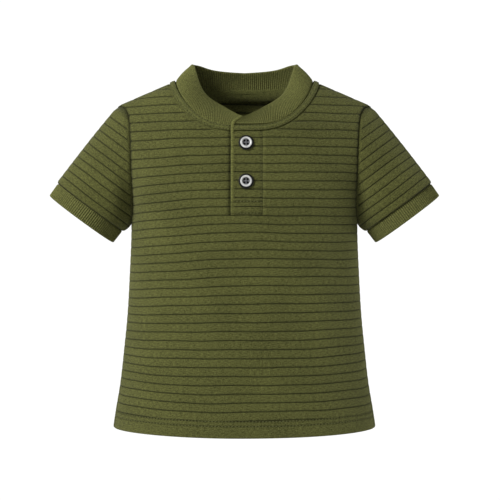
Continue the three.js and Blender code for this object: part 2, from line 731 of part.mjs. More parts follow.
function placketStrip(x0, x1, bottom, setback, outer, inner, ribbed) {
  const body = new Body();
  const columns = 3;
  const topAt = (x) => {
    const turn = radians(neckTurnAt(Math.abs(x)));
    return neckPoint(turn, 1, setback, 0).z;
  };
  const steps = ribSteps(FIRST_GROOVE, topAt(0));
  const levels = steps.filter((z) => z > bottom + 0.2 && z < Math.min(topAt(x0), topAt(x1)) - 0.5);
  const rowAt = (zOf, level) =>
    Array.from({ length: columns + 1 }, (_, c) => {
      const x = mix(x0, x1, c / columns);
      const z = zOf(x);
      const p = V(x, -depthAt(x, z, 'front'), z);
      const lift = ribbed ? ribProfile(level - FIRST_GROOVE) * clearOfNeck(p) : 0;
      return { p, n: bodyNormal(p), lift };
    });
  const rows = [
    rowAt((x) => bottom + rowDip(x, bottom), bottom),
    ...levels.map((level) => rowAt((x) => level + rowDip(x, level), level)),
    rowAt(topAt, FIRST_GROOVE),
  ];
  const outside = rows.map((row) => row.map(({ p, n, lift }) => p.clone().addScaledVector(n, outer + lift)));
  const inside = rows.map((row) => row.map(({ p, n }) => p.clone().addScaledVector(n, inner)));
  const insideRows = inside.filter((_, i) => i % 6 === 0 || i === inside.length - 1);
  body.grid(outside);
  body.grid(insideRows);
  body.strip(outside[0], insideRows[0]);
  body.strip(outside.at(-1), insideRows.at(-1));
  for (const column of [0, columns]) body.strip(columnOf(outside, column), columnOf(insideRows, column));
  return body.geometry();
}

const placketTop = () =>
  placketStrip(
    PLACKET_FREE_X, PLACKET_SEWN_X, SLOT_LEVEL + SEAM_GAP, PANEL_NECK_SETBACK,
    PLACKET_LIFT - RIB_HEIGHT, -CLOTH, true,
  );

const placketUnder = () => {
  const outer = -CLOTH - UNDER_GAP;
  return placketStrip(...UNDER_X, SLOT_LEVEL - UNDER_DROP, PANEL_NECK_SETBACK, outer, outer - UNDER_THICK, false);
};

// Buttons: four-hole shirt buttons with a raised rim and a dished middle

function button(z) {
  const { radius, thick, rim, well, wellDepth } = BUTTON;
  const profile = [
    [0, 0], [radius - rim, 0], [radius, rim * 0.8], [radius - 0.2, thick - 0.5], [radius - rim, thick],
    [well + 0.5, thick - 0.2], [well, thick - wellDepth], [0, thick - wellDepth],
  ].map(([r, h]) => new THREE.Vector2(r, h));
  const toManifold = (geometry) => {
    geometry.deleteAttribute('normal');
    geometry.deleteAttribute('uv');
    const merged = mergeVertices(geometry, 1e-4);
    const mesh = new wasm.Mesh({
      numProp: 3,
      vertProperties: new Float32Array(merged.attributes.position.array),
      triVerts: new Uint32Array(merged.index.array),
    });
    return new wasm.Manifold(mesh);
  };
  const holes = [45, 135, 225, 315].map((turn) => {
    const offset = BUTTON_HOLE.offset * Math.SQRT2;
    const hole = new THREE.CylinderGeometry(BUTTON_HOLE.radius, BUTTON_HOLE.radius, 3 * thick, 10);
    return hole.translate(offset * Math.cos(radians(turn)), thick / 2, offset * Math.sin(radians(turn)));
  });
  let solid = toManifold(new THREE.LatheGeometry(profile, 28));
  for (const hole of holes) solid = solid.subtract(toManifold(hole));
  const mesh = solid.getMesh();
  const geometry = new THREE.BufferGeometry();
  geometry.setAttribute('position', new THREE.BufferAttribute(mesh.vertProperties, 3));
  geometry.setIndex(new THREE.BufferAttribute(mesh.triVerts, 1));
  geometry.computeVertexNormals();
  const seat = V(BUTTON.x, -depthAt(BUTTON.x, z, 'front'), z);
  const normal = bodyNormal(seat);
  seat.addScaledVector(normal, PLACKET_LIFT + SEAM_GAP);
  return { geometry, seat, turn: new THREE.Quaternion().setFromUnitVectors(V(0, 1, 0), normal) };
}

// The shirt

const OLIVE = '#5b5f36';
const jersey = () => new THREE.MeshStandardMaterial({ color: OLIVE, roughness: 0.92, metalness: 0 });
const ribKnit = () => new THREE.MeshStandardMaterial({ color: '#62673b', roughness: 0.95, metalness: 0 });
const tapeCloth = () => new THREE.MeshStandardMaterial({ color: '#5d6239', roughness: 0.9, metalness: 0 });
const buttonResin = () => new THREE.MeshStandardMaterial({ color: '#c9c8c4', roughness: 0.35, metalness: 0 });

const shirt = new THREE.Group();

function addPiece(name, geometry, material) {
  const mesh = new THREE.Mesh(geometry, material);
  mesh.name = name;
  shirt.add(mesh);
  return mesh;
}

addPiece('front', frontPanel(), jersey());
addPiece('back', backPanel(), jersey());
for (const [name, side] of [['left', 1], ['right', -1]]) {
  addPiece(`sleeve_${name}`, sleeve(side), jersey());
  addPiece(`cuff_${name}`, cuff(side), ribKnit());
}
addPiece('collar', collar(), ribKnit());
addPiece('neck_binding', neckBinding(), tapeCloth());
addPiece('neck_tape', neckTape(), tapeCloth());
addPiece('placket_top', placketTop(), jersey());
addPiece('placket_under', placketUnder(), jersey());
for (const [i, name] of ['upper', 'lower'].entries()) {
  const { geometry, seat, turn } = button(BUTTON.zs[i]);
  const mesh = addPiece(`button_${name}`, geometry, buttonResin());
  mesh.position.copy(seat);
  mesh.quaternion.copy(turn);
}

export default shirt;
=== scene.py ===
import bmesh
import bpy
import numpy as np
from mathutils import Matrix, Vector


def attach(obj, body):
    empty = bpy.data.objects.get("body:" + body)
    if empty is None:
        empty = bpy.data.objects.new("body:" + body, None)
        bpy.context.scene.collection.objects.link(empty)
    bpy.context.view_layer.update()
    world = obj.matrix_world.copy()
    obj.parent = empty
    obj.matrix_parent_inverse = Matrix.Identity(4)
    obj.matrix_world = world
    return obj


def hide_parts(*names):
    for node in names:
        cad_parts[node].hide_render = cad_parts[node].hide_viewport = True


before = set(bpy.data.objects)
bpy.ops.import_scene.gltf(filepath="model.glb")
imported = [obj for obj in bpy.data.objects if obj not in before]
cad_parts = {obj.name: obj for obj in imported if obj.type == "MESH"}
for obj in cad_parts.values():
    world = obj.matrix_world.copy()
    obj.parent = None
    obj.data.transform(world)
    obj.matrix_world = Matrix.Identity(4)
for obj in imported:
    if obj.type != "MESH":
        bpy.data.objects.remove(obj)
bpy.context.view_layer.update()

# Front and back. Two panels of cotton jersey knitted with broad crosswise ribs, sewn together at the sides and
# shoulders, with a hem turned up and held by two rows of stitches. The front is slit for the placket.
# Lengths are in millimetres until a mesh is made.
MM = 0.001
CLOTH = 1.0
SEAM_GAP = 0.3
RIB_PITCH = 7.5
RIB_HEIGHT = 0.8
GROOVE_WIDTH = 1.3
SEAM_TUCK = 0.7
HEM_Z = -309
HEM_DEPTH = 15
HEM_LIFT = 0.6
HEM_STITCHES = (10.4, 14.5)
FIRST_GROOVE = HEM_Z + HEM_DEPTH
DOME_Z = -110
FULLNESS = 2.4
NECK_HALF = 61.7
NECK_CREST = 11
NECK_FRONT = 50
NECK_BACK = 29.6
NECK_SQUARE_FRONT = 2.75
NECK_SQUARE_BACK = 2.3
NECK_MIDDLE_Y = -10
PANEL_NECK_SETBACK = 2
BINDING_WIDTH = 5.2
SHOULDER_SLOPE = 0.43
SHOULDER_X = 112
SHOULDER_SEAM_NECK_Y = -12
ARM_TOP_Z = -22
ARM_BOTTOM_Z = -128
ARM_MIDDLE_Z = (ARM_TOP_Z + ARM_BOTTOM_Z) / 2
ARM_HALF_DEPTH = 30
ARM_Y = -3
SIDE_SEAM_HEM_Y = -17
PLACKET_FREE_X = -11.7
PLACKET_SEWN_X = 15.8
PLACKET_BOTTOM_Z = FIRST_GROOVE + 23 * RIB_PITCH

# Height, half width, reach in front and reach behind of the filled-out body
BODY = np.array([
    (-320, 118.5, 66, 62), (-297, 115.2, 66, 61.5), (-270, 110.7, 65.5, 60.5), (-238, 107.1, 64.5, 59),
    (-210, 104.4, 63.5, 57.5), (-178, 102.6, 62, 56.5), (-135, 100.8, 60.5, 56.5), (-120, 101.7, 60, 57),
    (-100, 107, 60, 57.5), (-75, 114, 60, 58), (-40, 121, 60, 58), (20, 126, 60, 58),
], dtype=float)
HALF, FRONT, BACK = 1, 2, 3


def smooth(t):
    t = np.clip(t, 0, 1)
    return t * t * (3 - 2 * t)


def read_curve(places, values, at):
    """The value at a place on a smooth curve through a table's rows."""
    k = np.arange(len(places))
    before, after = np.maximum(k - 1, 0), np.minimum(k + 1, len(places) - 1)
    slopes = (values[after] - values[before]) / (places[after] - places[before])
    i = np.clip(np.searchsorted(places, at, side="right") - 1, 0, len(places) - 2)
    span = places[i + 1] - places[i]
    t = np.clip((at - places[i]) / span, 0, 1)
    start = (2 * t**3 - 3 * t**2 + 1) * values[i] + (t**3 - 2 * t**2 + t) * slopes[i] * span
    return start + (3 * t**2 - 2 * t**3) * values[i + 1] + (t**3 - t**2) * slopes[i + 1] * span


def body_size(z, column):
    return read_curve(BODY[:, 0], BODY[:, column], z)


def ridge(x):
    """Height of the shoulders' ridge, which the form carries on under the neck hole."""
    reach = np.abs(x)
    inside = NECK_CREST * (1 - (reach / NECK_HALF) ** 2)
    return np.where(reach > NECK_HALF, -(reach - NECK_HALF) * SHOULDER_SLOPE, inside)


def depth_at(x, z, column):
    across = np.minimum(np.abs(x) / body_size(z, HALF), 1)
    depth = body_size(z, column) * (1 - across**FULLNESS) ** (1 / FULLNESS)
    rise = np.clip((z - DOME_Z) / (ridge(x) - DOME_Z), 0, 1)
    return depth * np.sqrt(1 - rise**2)


def front_point(x, z):
    """A point of the body's front surface."""
    x, z = np.broadcast_arrays(np.asarray(x, dtype=float), np.asarray(z, dtype=float))
    return np.stack([x, -depth_at(x, z, FRONT), z], axis=-1)


def edge_x(z):
    """Half width of the body where its front and back surfaces meet."""
    low = NECK_HALF - np.minimum(z, 0) / SHOULDER_SLOPE
    high = NECK_HALF * np.sqrt(np.clip(1 - np.maximum(z, 0) / NECK_CREST, 0, 1))
    half = body_size(z, HALF)
    return np.where(z <= DOME_Z, half, np.minimum(half, np.where(z < 0, low, high)))


def body_point(turn, z):
    """A point at a turn from the front middle, 90 degrees at the left side, 180 at the back middle."""
    turn, z = np.broadcast_arrays(turn, np.asarray(z, dtype=float))
    x = edge_x(z) * np.sin(turn)
    y = np.where(np.cos(turn) > 0, -depth_at(x, z, FRONT), depth_at(x, z, BACK))
    return np.stack([x, y, z], axis=-1)


def turn_at(z, y):
    low, high = np.zeros_like(z), np.full_like(z, np.pi)
    for _ in range(40):
        middle = (low + high) / 2
        short = body_point(middle, z)[..., 1] < y
        low, high = np.where(short, middle, low), np.where(short, high, middle)
    return (low + high) / 2


def outside(p):
    """Zero on the body's surface and positive outside it."""
    x, y, z = p[..., 0], p[..., 1], p[..., 2]
    across = np.minimum(np.abs(x) / body_size(z, HALF), 1.2)
    depth = np.where(y < 0, body_size(z, FRONT), body_size(z, BACK))
    rise = np.where(z > DOME_Z, (z - DOME_Z) / (ridge(x) - DOME_Z), 0)
    full = depth * np.maximum(0.01, 1 - across**FULLNESS) ** (1 / FULLNESS)
    low = depth * np.sqrt(np.maximum(0.001, 1 - rise**2))
    near_ridge = (y / full) ** 2 + rise**2 - 1
    below = (np.abs(y) / low) ** FULLNESS + across**FULLNESS - 1
    return np.where(rise > 0.5, near_ridge, below)


def gradient(p):
    step = 0.02 * np.eye(3)
    return np.stack([(outside(p + s) - outside(p - s)) / 0.04 for s in step], axis=-1)


def unit(v):
    return v / np.maximum(np.linalg.norm(v, axis=-1, keepdims=True), 1e-9)


def lifted(p, lift):
    """Points moved out from the body, or in where the lift is negative."""
    return p + unit(gradient(p)) * np.asarray(lift)[..., None]


def length_along(line):
    """Distance of each point of a line from the line's start."""
    return np.concatenate([[0], np.cumsum(np.linalg.norm(np.diff(line, axis=0), axis=-1))])


def points_along(line, spots):
    """Points of a line at distances from its start."""
    length = length_along(line)
    return np.stack([np.interp(spots, length, line[:, k]) for k in range(3)], axis=-1)


def onto_body(p):
    for _ in range(5):
        g = gradient(p)
        p = p - g * (outside(p) / (g * g).sum(axis=-1))[..., None]
    return p


def neck_seam(turn):
    """The collar's seam: a rounded oval seen from above, dropped onto the body."""
    turn = np.asarray(turn, dtype=float)
    back = np.cos(turn) < 0
    power = np.where(back, 2 / NECK_SQUARE_BACK, 2 / NECK_SQUARE_FRONT)
    x = NECK_HALF * np.sign(np.sin(turn)) * np.abs(np.sin(turn)) ** power
    y = np.where(back, NECK_BACK, -NECK_FRONT) * np.abs(np.cos(turn)) ** power
    depth = np.where(back, body_size(ARM_TOP_Z, BACK), body_size(ARM_TOP_Z, FRONT))
    across = np.abs(x) / body_size(ARM_TOP_Z, HALF)
    share = np.abs(y) / (depth * (1 - across**FULLNESS) ** (1 / FULLNESS))
    z = DOME_Z + (ridge(x) - DOME_Z) * np.sqrt(1 - share**2)
    return onto_body(np.stack([x, y, z], axis=-1))


def along_neck(turn):
    return unit(neck_seam(turn + 0.02) - neck_seam(turn - 0.02))


def neck_point(turn, setback, out):
    """A point set back from the collar's seam along the body, and out from the body."""
    seam = neck_seam(turn)
    away = unit(np.cross(along_neck(turn), unit(gradient(seam))))
    outward = away[..., 0] * seam[..., 0] + away[..., 1] * (seam[..., 1] - NECK_MIDDLE_Y)
    away = np.where(outward[..., None] < 0, -away, away)
    return lifted(onto_body(seam + away * setback), out)


TURNS = np.linspace(0, np.pi, 181)
SEAM_LINE = neck_seam(TURNS)
PANEL_NECK = neck_point(TURNS, PANEL_NECK_SETBACK, 0)
TOP = int(PANEL_NECK[:, 2].argmax())
NECK_LINES = {FRONT: PANEL_NECK[: TOP + 1], BACK: PANEL_NECK[TOP:][::-1]}
share = np.linspace(0, 1, 49)
shoulder_x = SHOULDER_X + (NECK_HALF - SHOULDER_X) * share
SHOULDER_LINE = onto_body(np.stack([
    shoulder_x, ARM_Y + (SHOULDER_SEAM_NECK_Y - ARM_Y) * share, ridge(shoulder_x) - 1,
], axis=-1))
SHOULDER_LINE[0, 2] = ARM_TOP_Z


def crossing(line, z, axis):
    """Where a line of points that rises in z crosses a height."""
    return np.interp(z, line[:, 2], line[:, axis])


covered = crossing(NECK_LINES[FRONT], SHOULDER_LINE[:, 2], 0) > SHOULDER_LINE[:, 0]
CORNER_Z = SHOULDER_LINE[covered.argmax(), 2] if covered.any() else SHOULDER_LINE[-1, 2]


def outer_edge_y(z, face):
    """The y of a panel's outer edge: side seam, armhole, shoulder seam, then the neckline."""
    down = (ARM_BOTTOM_Z - z) / (ARM_BOTTOM_Z - HEM_Z)
    side = ARM_Y + (SIDE_SEAM_HEM_Y - ARM_Y) * down
    up = (z - ARM_MIDDLE_Z) / (ARM_TOP_Z - ARM_MIDDLE_Z)
    armhole = ARM_Y + face * ARM_HALF_DEPTH * np.sqrt(np.clip(1 - up**2, 0, 1))
    shoulder = crossing(SHOULDER_LINE, z, 1)
    edge = np.where(z < ARM_BOTTOM_Z, side, np.where(z <= ARM_TOP_Z, armhole, shoulder))
    return np.where(z < CORNER_Z, edge + face * SEAM_GAP / 2, crossing(NECK_LINES[FRONT], z, 1))


def row_dip(x, z):
    """How far a row of ribs leaves its level: the hem droops in the middle and the right side hangs lower."""
    droop = 3.5 * smooth((z + 150) / -120) * np.clip(1 - (x / body_size(z, HALF)) ** 2, 0, 1)
    dip = 5 * smooth((z + 290) / 120) * smooth((z + 30) / -60) * (np.abs(x) / 100) ** 1.5
    return -droop - np.where(x < 0, dip, 0)


def wander(u, level):
    """Knitted rows never run dead straight: a slow drift along the rows, in mm."""
    slow = 0.5 * np.sin(u / 23 + level / 31) * np.sin(level / 47 + 1.3)
    return slow + 0.28 * np.sin(u / 9.5 + level / 12 + 2.1) * np.sin(u / 37 - level / 19)


def rib_relief(distance):
    """Broad pillows with a narrow dip between them: height, and the painted shade in each dip."""
    phase = np.mod(distance, RIB_PITCH)
    near = np.minimum(phase, RIB_PITCH - phase)
    shoulder = 1 - (1 - np.clip(near / GROOVE_WIDTH, 0, 1)) ** 2.4
    pillow = 0.72 + 0.28 * np.sin(np.pi * phase / RIB_PITCH)
    return RIB_HEIGHT * shoulder * pillow, np.exp(-((near / 0.5) ** 2))


def rib_rows(low, high):
    """Rows of points, close together in the grooves."""
    phases = np.array([0, 0.35, 0.75, 1.2, 1.8, 3.0, 4.5, 5.7, 6.3, 6.75, 7.15])
    rows = (low + RIB_PITCH * np.arange(int((high - low) / RIB_PITCH) + 1)[:, None] + phases).ravel()
    return rows[rows < high]


def clear_of_neck(p):
    folded = np.stack([np.abs(p[..., 0]), p[..., 1], p[..., 2]], axis=-1)
    near = np.full(p.shape[:-1], 1e9)
    for s in SEAM_LINE[::4]:
        near = np.minimum(near, np.linalg.norm(folded - s, axis=-1))
    return smooth((near - BINDING_WIDTH) / 1.5 - 0.4)


# Soft hollows and swells in the filled-out cloth: start, end, half width and depth, positive inwards
CREASES = [
    ((-97, -44, -128), (-66, -60, -98), 9, 1.3), ((-96, -40, -140), (-70, -60, -160), 10, 1.1),
    ((97, -44, -126), (72, -60, -92), 10, 1.6), ((96, -40, -142), (66, -60, -170), 11, 1.3),
    ((88, -48, -150), (94, -50, -280), 15, 1.4), ((-62, -60, -190), (-78, -58, -295), 16, 1.0),
    ((22, -66, -170), (40, -66, -300), 18, -0.9), ((-30, -62, -165), (-16, -66, -290), 18, -0.7),
    ((97, 44, -128), (64, 56, -94), 10, 1.5), ((-97, 44, -126), (-60, 56, -100), 10, 1.3),
    ((80, 50, -165), (88, 54, -285), 15, 1.3), ((-84, 50, -160), (-70, 56, -290), 16, 1.2),
    ((0, 58, -120), (10, 60, -285), 20, -1.0), ((-30, 56, -60), (30, 56, -64), 13, 0.9),
    ((118, -26, -62), (132, -30, -98), 8, 1.2), ((-118, -26, -60), (-134, -28, -100), 8, 0.9),
    ((-100, -33, -92), (-100, -21, -126), 9, 6.0), ((100, -33, -92), (100, -21, -126), 9, 4.5),
    ((-100, 30, -92), (-100, 18, -126), 9, 4.5), ((100, 30, -92), (100, 18, -126), 9, 5.0),
    ((118, 26, -62), (134, 28, -98), 8, 1.1), ((-118, 26, -64), (-132, 28, -96), 8, 1.1),
]


def soften(p):
    """Moves points in or out where the cloth is hollow or swells, alike for all the pieces that touch."""
    face = np.sign(p[..., 1]) * smooth(np.abs(p[..., 1]) / 22)
    inward = np.zeros(p.shape[:-1])
    for start, end, width, depth in CREASES:
        a, b = np.array(start, float), np.array(end, float)
        t = np.clip(((p - a) @ (b - a)) / ((b - a) @ (b - a)), 0, 1)
        far = np.linalg.norm(p - a - t[..., None] * (b - a), axis=-1)
        inward += depth * np.exp(-((far / width) ** 2)) * (0.45 + 0.55 * np.sin(np.pi * t))
    x, z = p[..., 0], p[..., 2]
    inward += 0.5 * np.sin(x / 17 + z / 41 + 0.6) * np.sin(z / 29 + 0.4) * smooth((z + 45) / -30)
    moved = p.copy()
    moved[..., 1] -= face * inward
    return moved


def cloth_piece(points, flat, painted_light_and_shade, keep=None):
    """A piece of cloth from rows of points in mm. flat holds each point's place on the flat cloth; the last array
    holds each point's painted shade, negative where a highlight is painted.
    """
    rows, columns = points.shape[:2]
    bm = bmesh.new()
    bmesh.ops.create_grid(bm, x_segments=columns - 1, y_segments=rows - 1, size=1)
    uv = bm.loops.layers.uv.new("flat")
    painted_shading = bm.verts.layers.float.new("painted_shading")
    mark_row, mark_column = bm.verts.layers.int.new("row"), bm.verts.layers.int.new("column")
    for v in bm.verts:
        v[mark_column] = round((v.co.x + 1) / 2 * (columns - 1))
        v[mark_row] = round((v.co.y + 1) / 2 * (rows - 1))
    if keep is not None:
        lost = [f for f in bm.faces
                if not keep(min(v[mark_row] for v in f.verts), min(v[mark_column] for v in f.verts))]
        bmesh.ops.delete(bm, geom=lost, context="FACES")
    placed = soften(points) * MM
    for v in bm.verts:
        r, c = v[mark_row], v[mark_column]
        v.co = placed[r, c]
        v[painted_shading] = painted_light_and_shade[r, c]
        for loop in v.link_loops:
            loop[uv].uv = flat[r, c] * MM
    bmesh.ops.remove_doubles(bm, verts=bm.verts, dist=0.00002)
    bmesh.ops.recalc_face_normals(bm, faces=bm.faces)
    return bm


def finish_piece(name, bm, material, wall=0.0, away_from=None):
    """Turns the faces outwards, makes the object and gives it its wall, its body and its slot's finish."""
    if away_from is not None:
        out = 0.0
        for f in bm.faces:
            middle = f.calc_center_median()
            out += f.calc_area() * f.normal.dot(middle - away_from(middle))
        if out < 0:
            bmesh.ops.reverse_faces(bm, faces=bm.faces)
    mesh = bpy.data.meshes.new(name)
    bm.to_mesh(mesh)
    bm.free()
    mesh.shade_smooth()
    mesh.materials.append(material)
    piece = bpy.data.objects.new(name, mesh)
    bpy.context.scene.collection.objects.link(piece)
    if wall:
        solid = piece.modifiers.new("wall", "SOLIDIFY")
        solid.thickness = wall * MM
        solid.offset = -1
        solid.use_even_offset = False
    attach(piece, "root")
    return piece


def close_ends(bm):
    bmesh.ops.holes_fill(bm, edges=[e for e in bm.edges if e.is_boundary], sides=0)
    bmesh.ops.recalc_face_normals(bm, faces=bm.faces)
    return bm


def upright_axis(middle):
    return Vector((0, 0, middle.z))


def new_group(name, inputs, outputs):
    group = bpy.data.node_groups.new(name, "ShaderNodeTree")
    for title, kind, value in inputs:
        socket = group.interface.new_socket(title, in_out="INPUT", socket_type=kind)
        if value is not None:
            socket.default_value = value
    for title, kind in outputs:
        group.interface.new_socket(title, in_out="OUTPUT", socket_type=kind)
    return group, group.nodes.new("NodeGroupInput"), group.nodes.new("NodeGroupOutput")


def add_math(tree, operation, *values):
    node = tree.nodes.new("ShaderNodeMath")
    node.operation = operation
    for i, value in enumerate(values):
        if isinstance(value, (int, float)):
            node.inputs[i].default_value = value
        else:
            tree.links.new(value, node.inputs[i])
    return node.outputs[0]


# Heathered yarn: a base colour with streaks along the rows and small flecks of lighter and darker fibre
heather, given, put_out = new_group(
    "Heathered yarn",
    [("Flat place", "NodeSocketVector", None), ("Colour", "NodeSocketColor", (0.1, 0.1, 0.05, 1)),
     ("Strength", "NodeSocketFloat", 0.25)],
    [("Colour", "NodeSocketColor")],
)
noises = []
for detail, stretch in ((3.0, (330, 1200, 1)), (2.0, (1300, 1700, 1)), (2.0, (22, 30, 1))):
    spread = heather.nodes.new("ShaderNodeMapping")
    spread.inputs["Scale"].default_value = stretch
    heather.links.new(given.outputs["Flat place"], spread.inputs["Vector"])
    speckle = heather.nodes.new("ShaderNodeTexNoise")
    speckle.noise_dimensions = "2D"
    speckle.inputs["Scale"].default_value = 1.0
    speckle.inputs["Detail"].default_value = detail
    heather.links.new(spread.outputs["Vector"], speckle.inputs["Vector"])
    noises.append(add_math(heather, "SUBTRACT", speckle.outputs["Fac"], 0.5))
streaks = add_math(heather, "MULTIPLY", noises[0], 3.2)
flecks = add_math(heather, "MULTIPLY", noises[1], 5.0)
patches = add_math(heather, "MULTIPLY", noises[2], 0.8)
mixed = add_math(heather, "ADD", add_math(heather, "ADD", streaks, flecks), patches)
shade = add_math(heather, "MULTIPLY_ADD", mixed, given.outputs["Strength"], 1.0)
tinted = heather.nodes.new("ShaderNodeVectorMath")
tinted.operation = "SCALE"
heather.links.new(given.outputs["Colour"], tinted.inputs[0])
heather.links.new(shade, tinted.inputs["Scale"])
heather.links.new(tinted.outputs[0], put_out.inputs["Colour"])

# Knitted stitches: columns of small Vs, as a height
FULL_TURN = 6.2832
knit, given, put_out = new_group(
    "Knitted stitches",
    [("Flat place", "NodeSocketVector", None), ("Width", "NodeSocketFloat", 0.0009),
     ("Height of a row", "NodeSocketFloat", 0.0007)],
    [("Height", "NodeSocketFloat")],
)
parts = knit.nodes.new("ShaderNodeSeparateXYZ")
knit.links.new(given.outputs["Flat place"], parts.inputs[0])
column = add_math(knit, "DIVIDE", parts.outputs["X"], given.outputs["Width"])
across = add_math(knit, "ABSOLUTE", add_math(knit, "SUBTRACT", add_math(knit, "FRACT", column), 0.5))
row = add_math(knit, "DIVIDE", parts.outputs["Y"], given.outputs["Height of a row"])
slant = add_math(knit, "ADD", row, add_math(knit, "MULTIPLY", across, 1.6))
strand = add_math(knit, "SINE", add_math(knit, "MULTIPLY", slant, FULL_TURN))
strand = add_math(knit, "MULTIPLY_ADD", strand, 0.5, 0.5)
leg = add_math(knit, "SINE", add_math(knit, "MULTIPLY", across, FULL_TURN))
knit.links.new(add_math(knit, "MULTIPLY", strand, leg), put_out.inputs["Height"])


def cloth_material(name, colour, strength, stitch, bump, painted_shade_depth):
    """Matt brushed cotton: heathered yarn, knitted bump, a soft sheen, and painted shade where the shading mask is
    positive, painted highlight where it is negative.
    """
    material = bpy.data.materials.new(name)
    material.use_nodes = True
    tree = material.node_tree
    shader = tree.nodes["Principled BSDF"]
    shader.inputs["Roughness"].default_value = 0.92
    shader.inputs["Specular IOR Level"].default_value = 0.1
    shader.inputs["Sheen Weight"].default_value = 0.12
    shader.inputs["Sheen Roughness"].default_value = 0.55
    shader.inputs["Sheen Tint"].default_value = (0.62, 0.64, 0.36, 1)
    place = tree.nodes.new("ShaderNodeUVMap")
    place.uv_map = "flat"
    yarn = tree.nodes.new("ShaderNodeGroup")
    yarn.node_tree = heather
    yarn.inputs["Colour"].default_value = (*colour, 1)
    yarn.inputs["Strength"].default_value = strength
    tree.links.new(place.outputs["UV"], yarn.inputs["Flat place"])
    # Painted shade: the yarn's colour is darkened by the mask stored on the cloth, and lightened as a painted
    # highlight where the mask is negative.
    painted_shading = tree.nodes.new("ShaderNodeAttribute")
    painted_shading.attribute_name = "painted_shading"
    darker = add_math(tree, "MULTIPLY_ADD", painted_shading.outputs["Fac"], -painted_shade_depth, 1.0)
    painted = tree.nodes.new("ShaderNodeVectorMath")
    painted.operation = "SCALE"
    tree.links.new(yarn.outputs["Colour"], painted.inputs[0])
    tree.links.new(darker, painted.inputs["Scale"])
    tree.links.new(painted.outputs[0], shader.inputs["Base Color"])
    stitches = tree.nodes.new("ShaderNodeGroup")
    stitches.node_tree = knit
    stitches.inputs["Width"].default_value = stitch[0]
    stitches.inputs["Height of a row"].default_value = stitch[1]
    tree.links.new(place.outputs["UV"], stitches.inputs["Flat place"])
    relief = tree.nodes.new("ShaderNodeBump")
    relief.inputs["Strength"].default_value = bump
    relief.inputs["Distance"].default_value = 0.0003
    tree.links.new(stitches.outputs["Height"], relief.inputs["Height"])
    tree.links.new(relief.outputs["Normal"], shader.inputs["Normal"])
    return material


JERSEY = cloth_material("Ribbed jersey", (0.085, 0.088, 0.0245), 0.5, (0.0009, 0.0007), 0.7, 0.85)


def panel_rows(levels, face, slots):
    """Turns of a panel's columns at each level, right edge to left edge, and the points they give."""
    bottom = NECK_LINES[face][0, 2]
    neck_x = np.where(levels > bottom, crossing(NECK_LINES[face], levels, 0), 0)

    def settled(turn_of, side):
        z = levels.astype(float)
        for _ in range(4):
            z = levels + row_dip(side * edge_x(z) * np.sin(turn_of(z)), levels)
        return side * turn_of(z)

    def inner(slot):
        def turn_of(z):
            turn = np.arcsin(np.clip(np.maximum(slot, neck_x) / edge_x(z), 0, 1))
            return turn if face == FRONT else np.pi - turn
        return turn_of

    def outer(z):
        return turn_at(z, outer_edge_y(z, -1 if face == FRONT else 1))

    edges = [settled(outer, -1), settled(inner(slots[0]), -1)]
    edges += [settled(inner(slots[1]), 1), settled(outer, 1)]
    t = np.linspace(0, 1, 43)
    towards_seam = 1 - (1 - t) ** 1.4
    middle = np.linspace(0, 1, 5)[1:-1]
    shares = [1 - towards_seam[::-1], middle, towards_seam]
    turns = []
    for start, end, s in zip(edges, edges[1:], shares):
        turns.append(start[:, None] + (end - start)[:, None] * s)
    if face == BACK:
        turns[1] = np.repeat(edges[2][:, None], len(middle), axis=1)
    turns = np.concatenate(turns, axis=1)
    z = np.repeat(levels[:, None], turns.shape[1], axis=1).astype(float)
    for _ in range(4):
        z = levels[:, None] + row_dip(body_point(turns, z)[..., 0], levels[:, None])
    return body_point(turns, z), len(t)


def arc_from(points, start):
    """Distance along each row from one of its columns."""
    steps = np.linalg.norm(np.diff(points, axis=1), axis=-1)
    arc = np.concatenate([np.zeros((len(points), 1)), np.cumsum(steps, axis=1)], axis=1)
    return arc - arc[:, start : start + 1]


def into_armhole(p):
    """The way from a point of the armhole's edge towards its middle."""
    towards = np.stack([0 * p[..., 0], ARM_Y - p[..., 1], ARM_MIDDLE_Z - p[..., 2]], axis=-1)
    return unit(towards)


def body_lift(p, level, along):
    """The cloth's outer face over the body's form: ribs and the doubled hem, and the painted shade between the
    ribs and along the hem's stitched rows.
    """
    relief, painted_shading = rib_relief(level + wander(along, level) - FIRST_GROOVE)
    pressed = 0.65 * smooth(1.2 - np.abs(p[..., 1] + 10) / 24)
    relief = RIB_HEIGHT * 0.7 + (relief - RIB_HEIGHT * 0.7) * (1 - pressed)
    above_hem = level >= FIRST_GROOVE
    clear = clear_of_neck(p)
    fold = np.clip((level - HEM_Z) / 0.9, 0, 1) ** 0.5
    hem = HEM_LIFT * fold * np.clip((FIRST_GROOVE - level) / 0.8, 0, 1)
    sewn = np.zeros_like(level)
    for stitched in HEM_STITCHES:
        row = np.exp(-(((level - HEM_Z - stitched) / 0.6) ** 2))
        hem = hem - 0.45 * row
        # Painted shade along each stitched row's dip.
        sewn = np.maximum(sewn, 0.8 * row)
    return np.where(above_hem, relief * clear, hem), np.where(above_hem, painted_shading * clear, sewn)


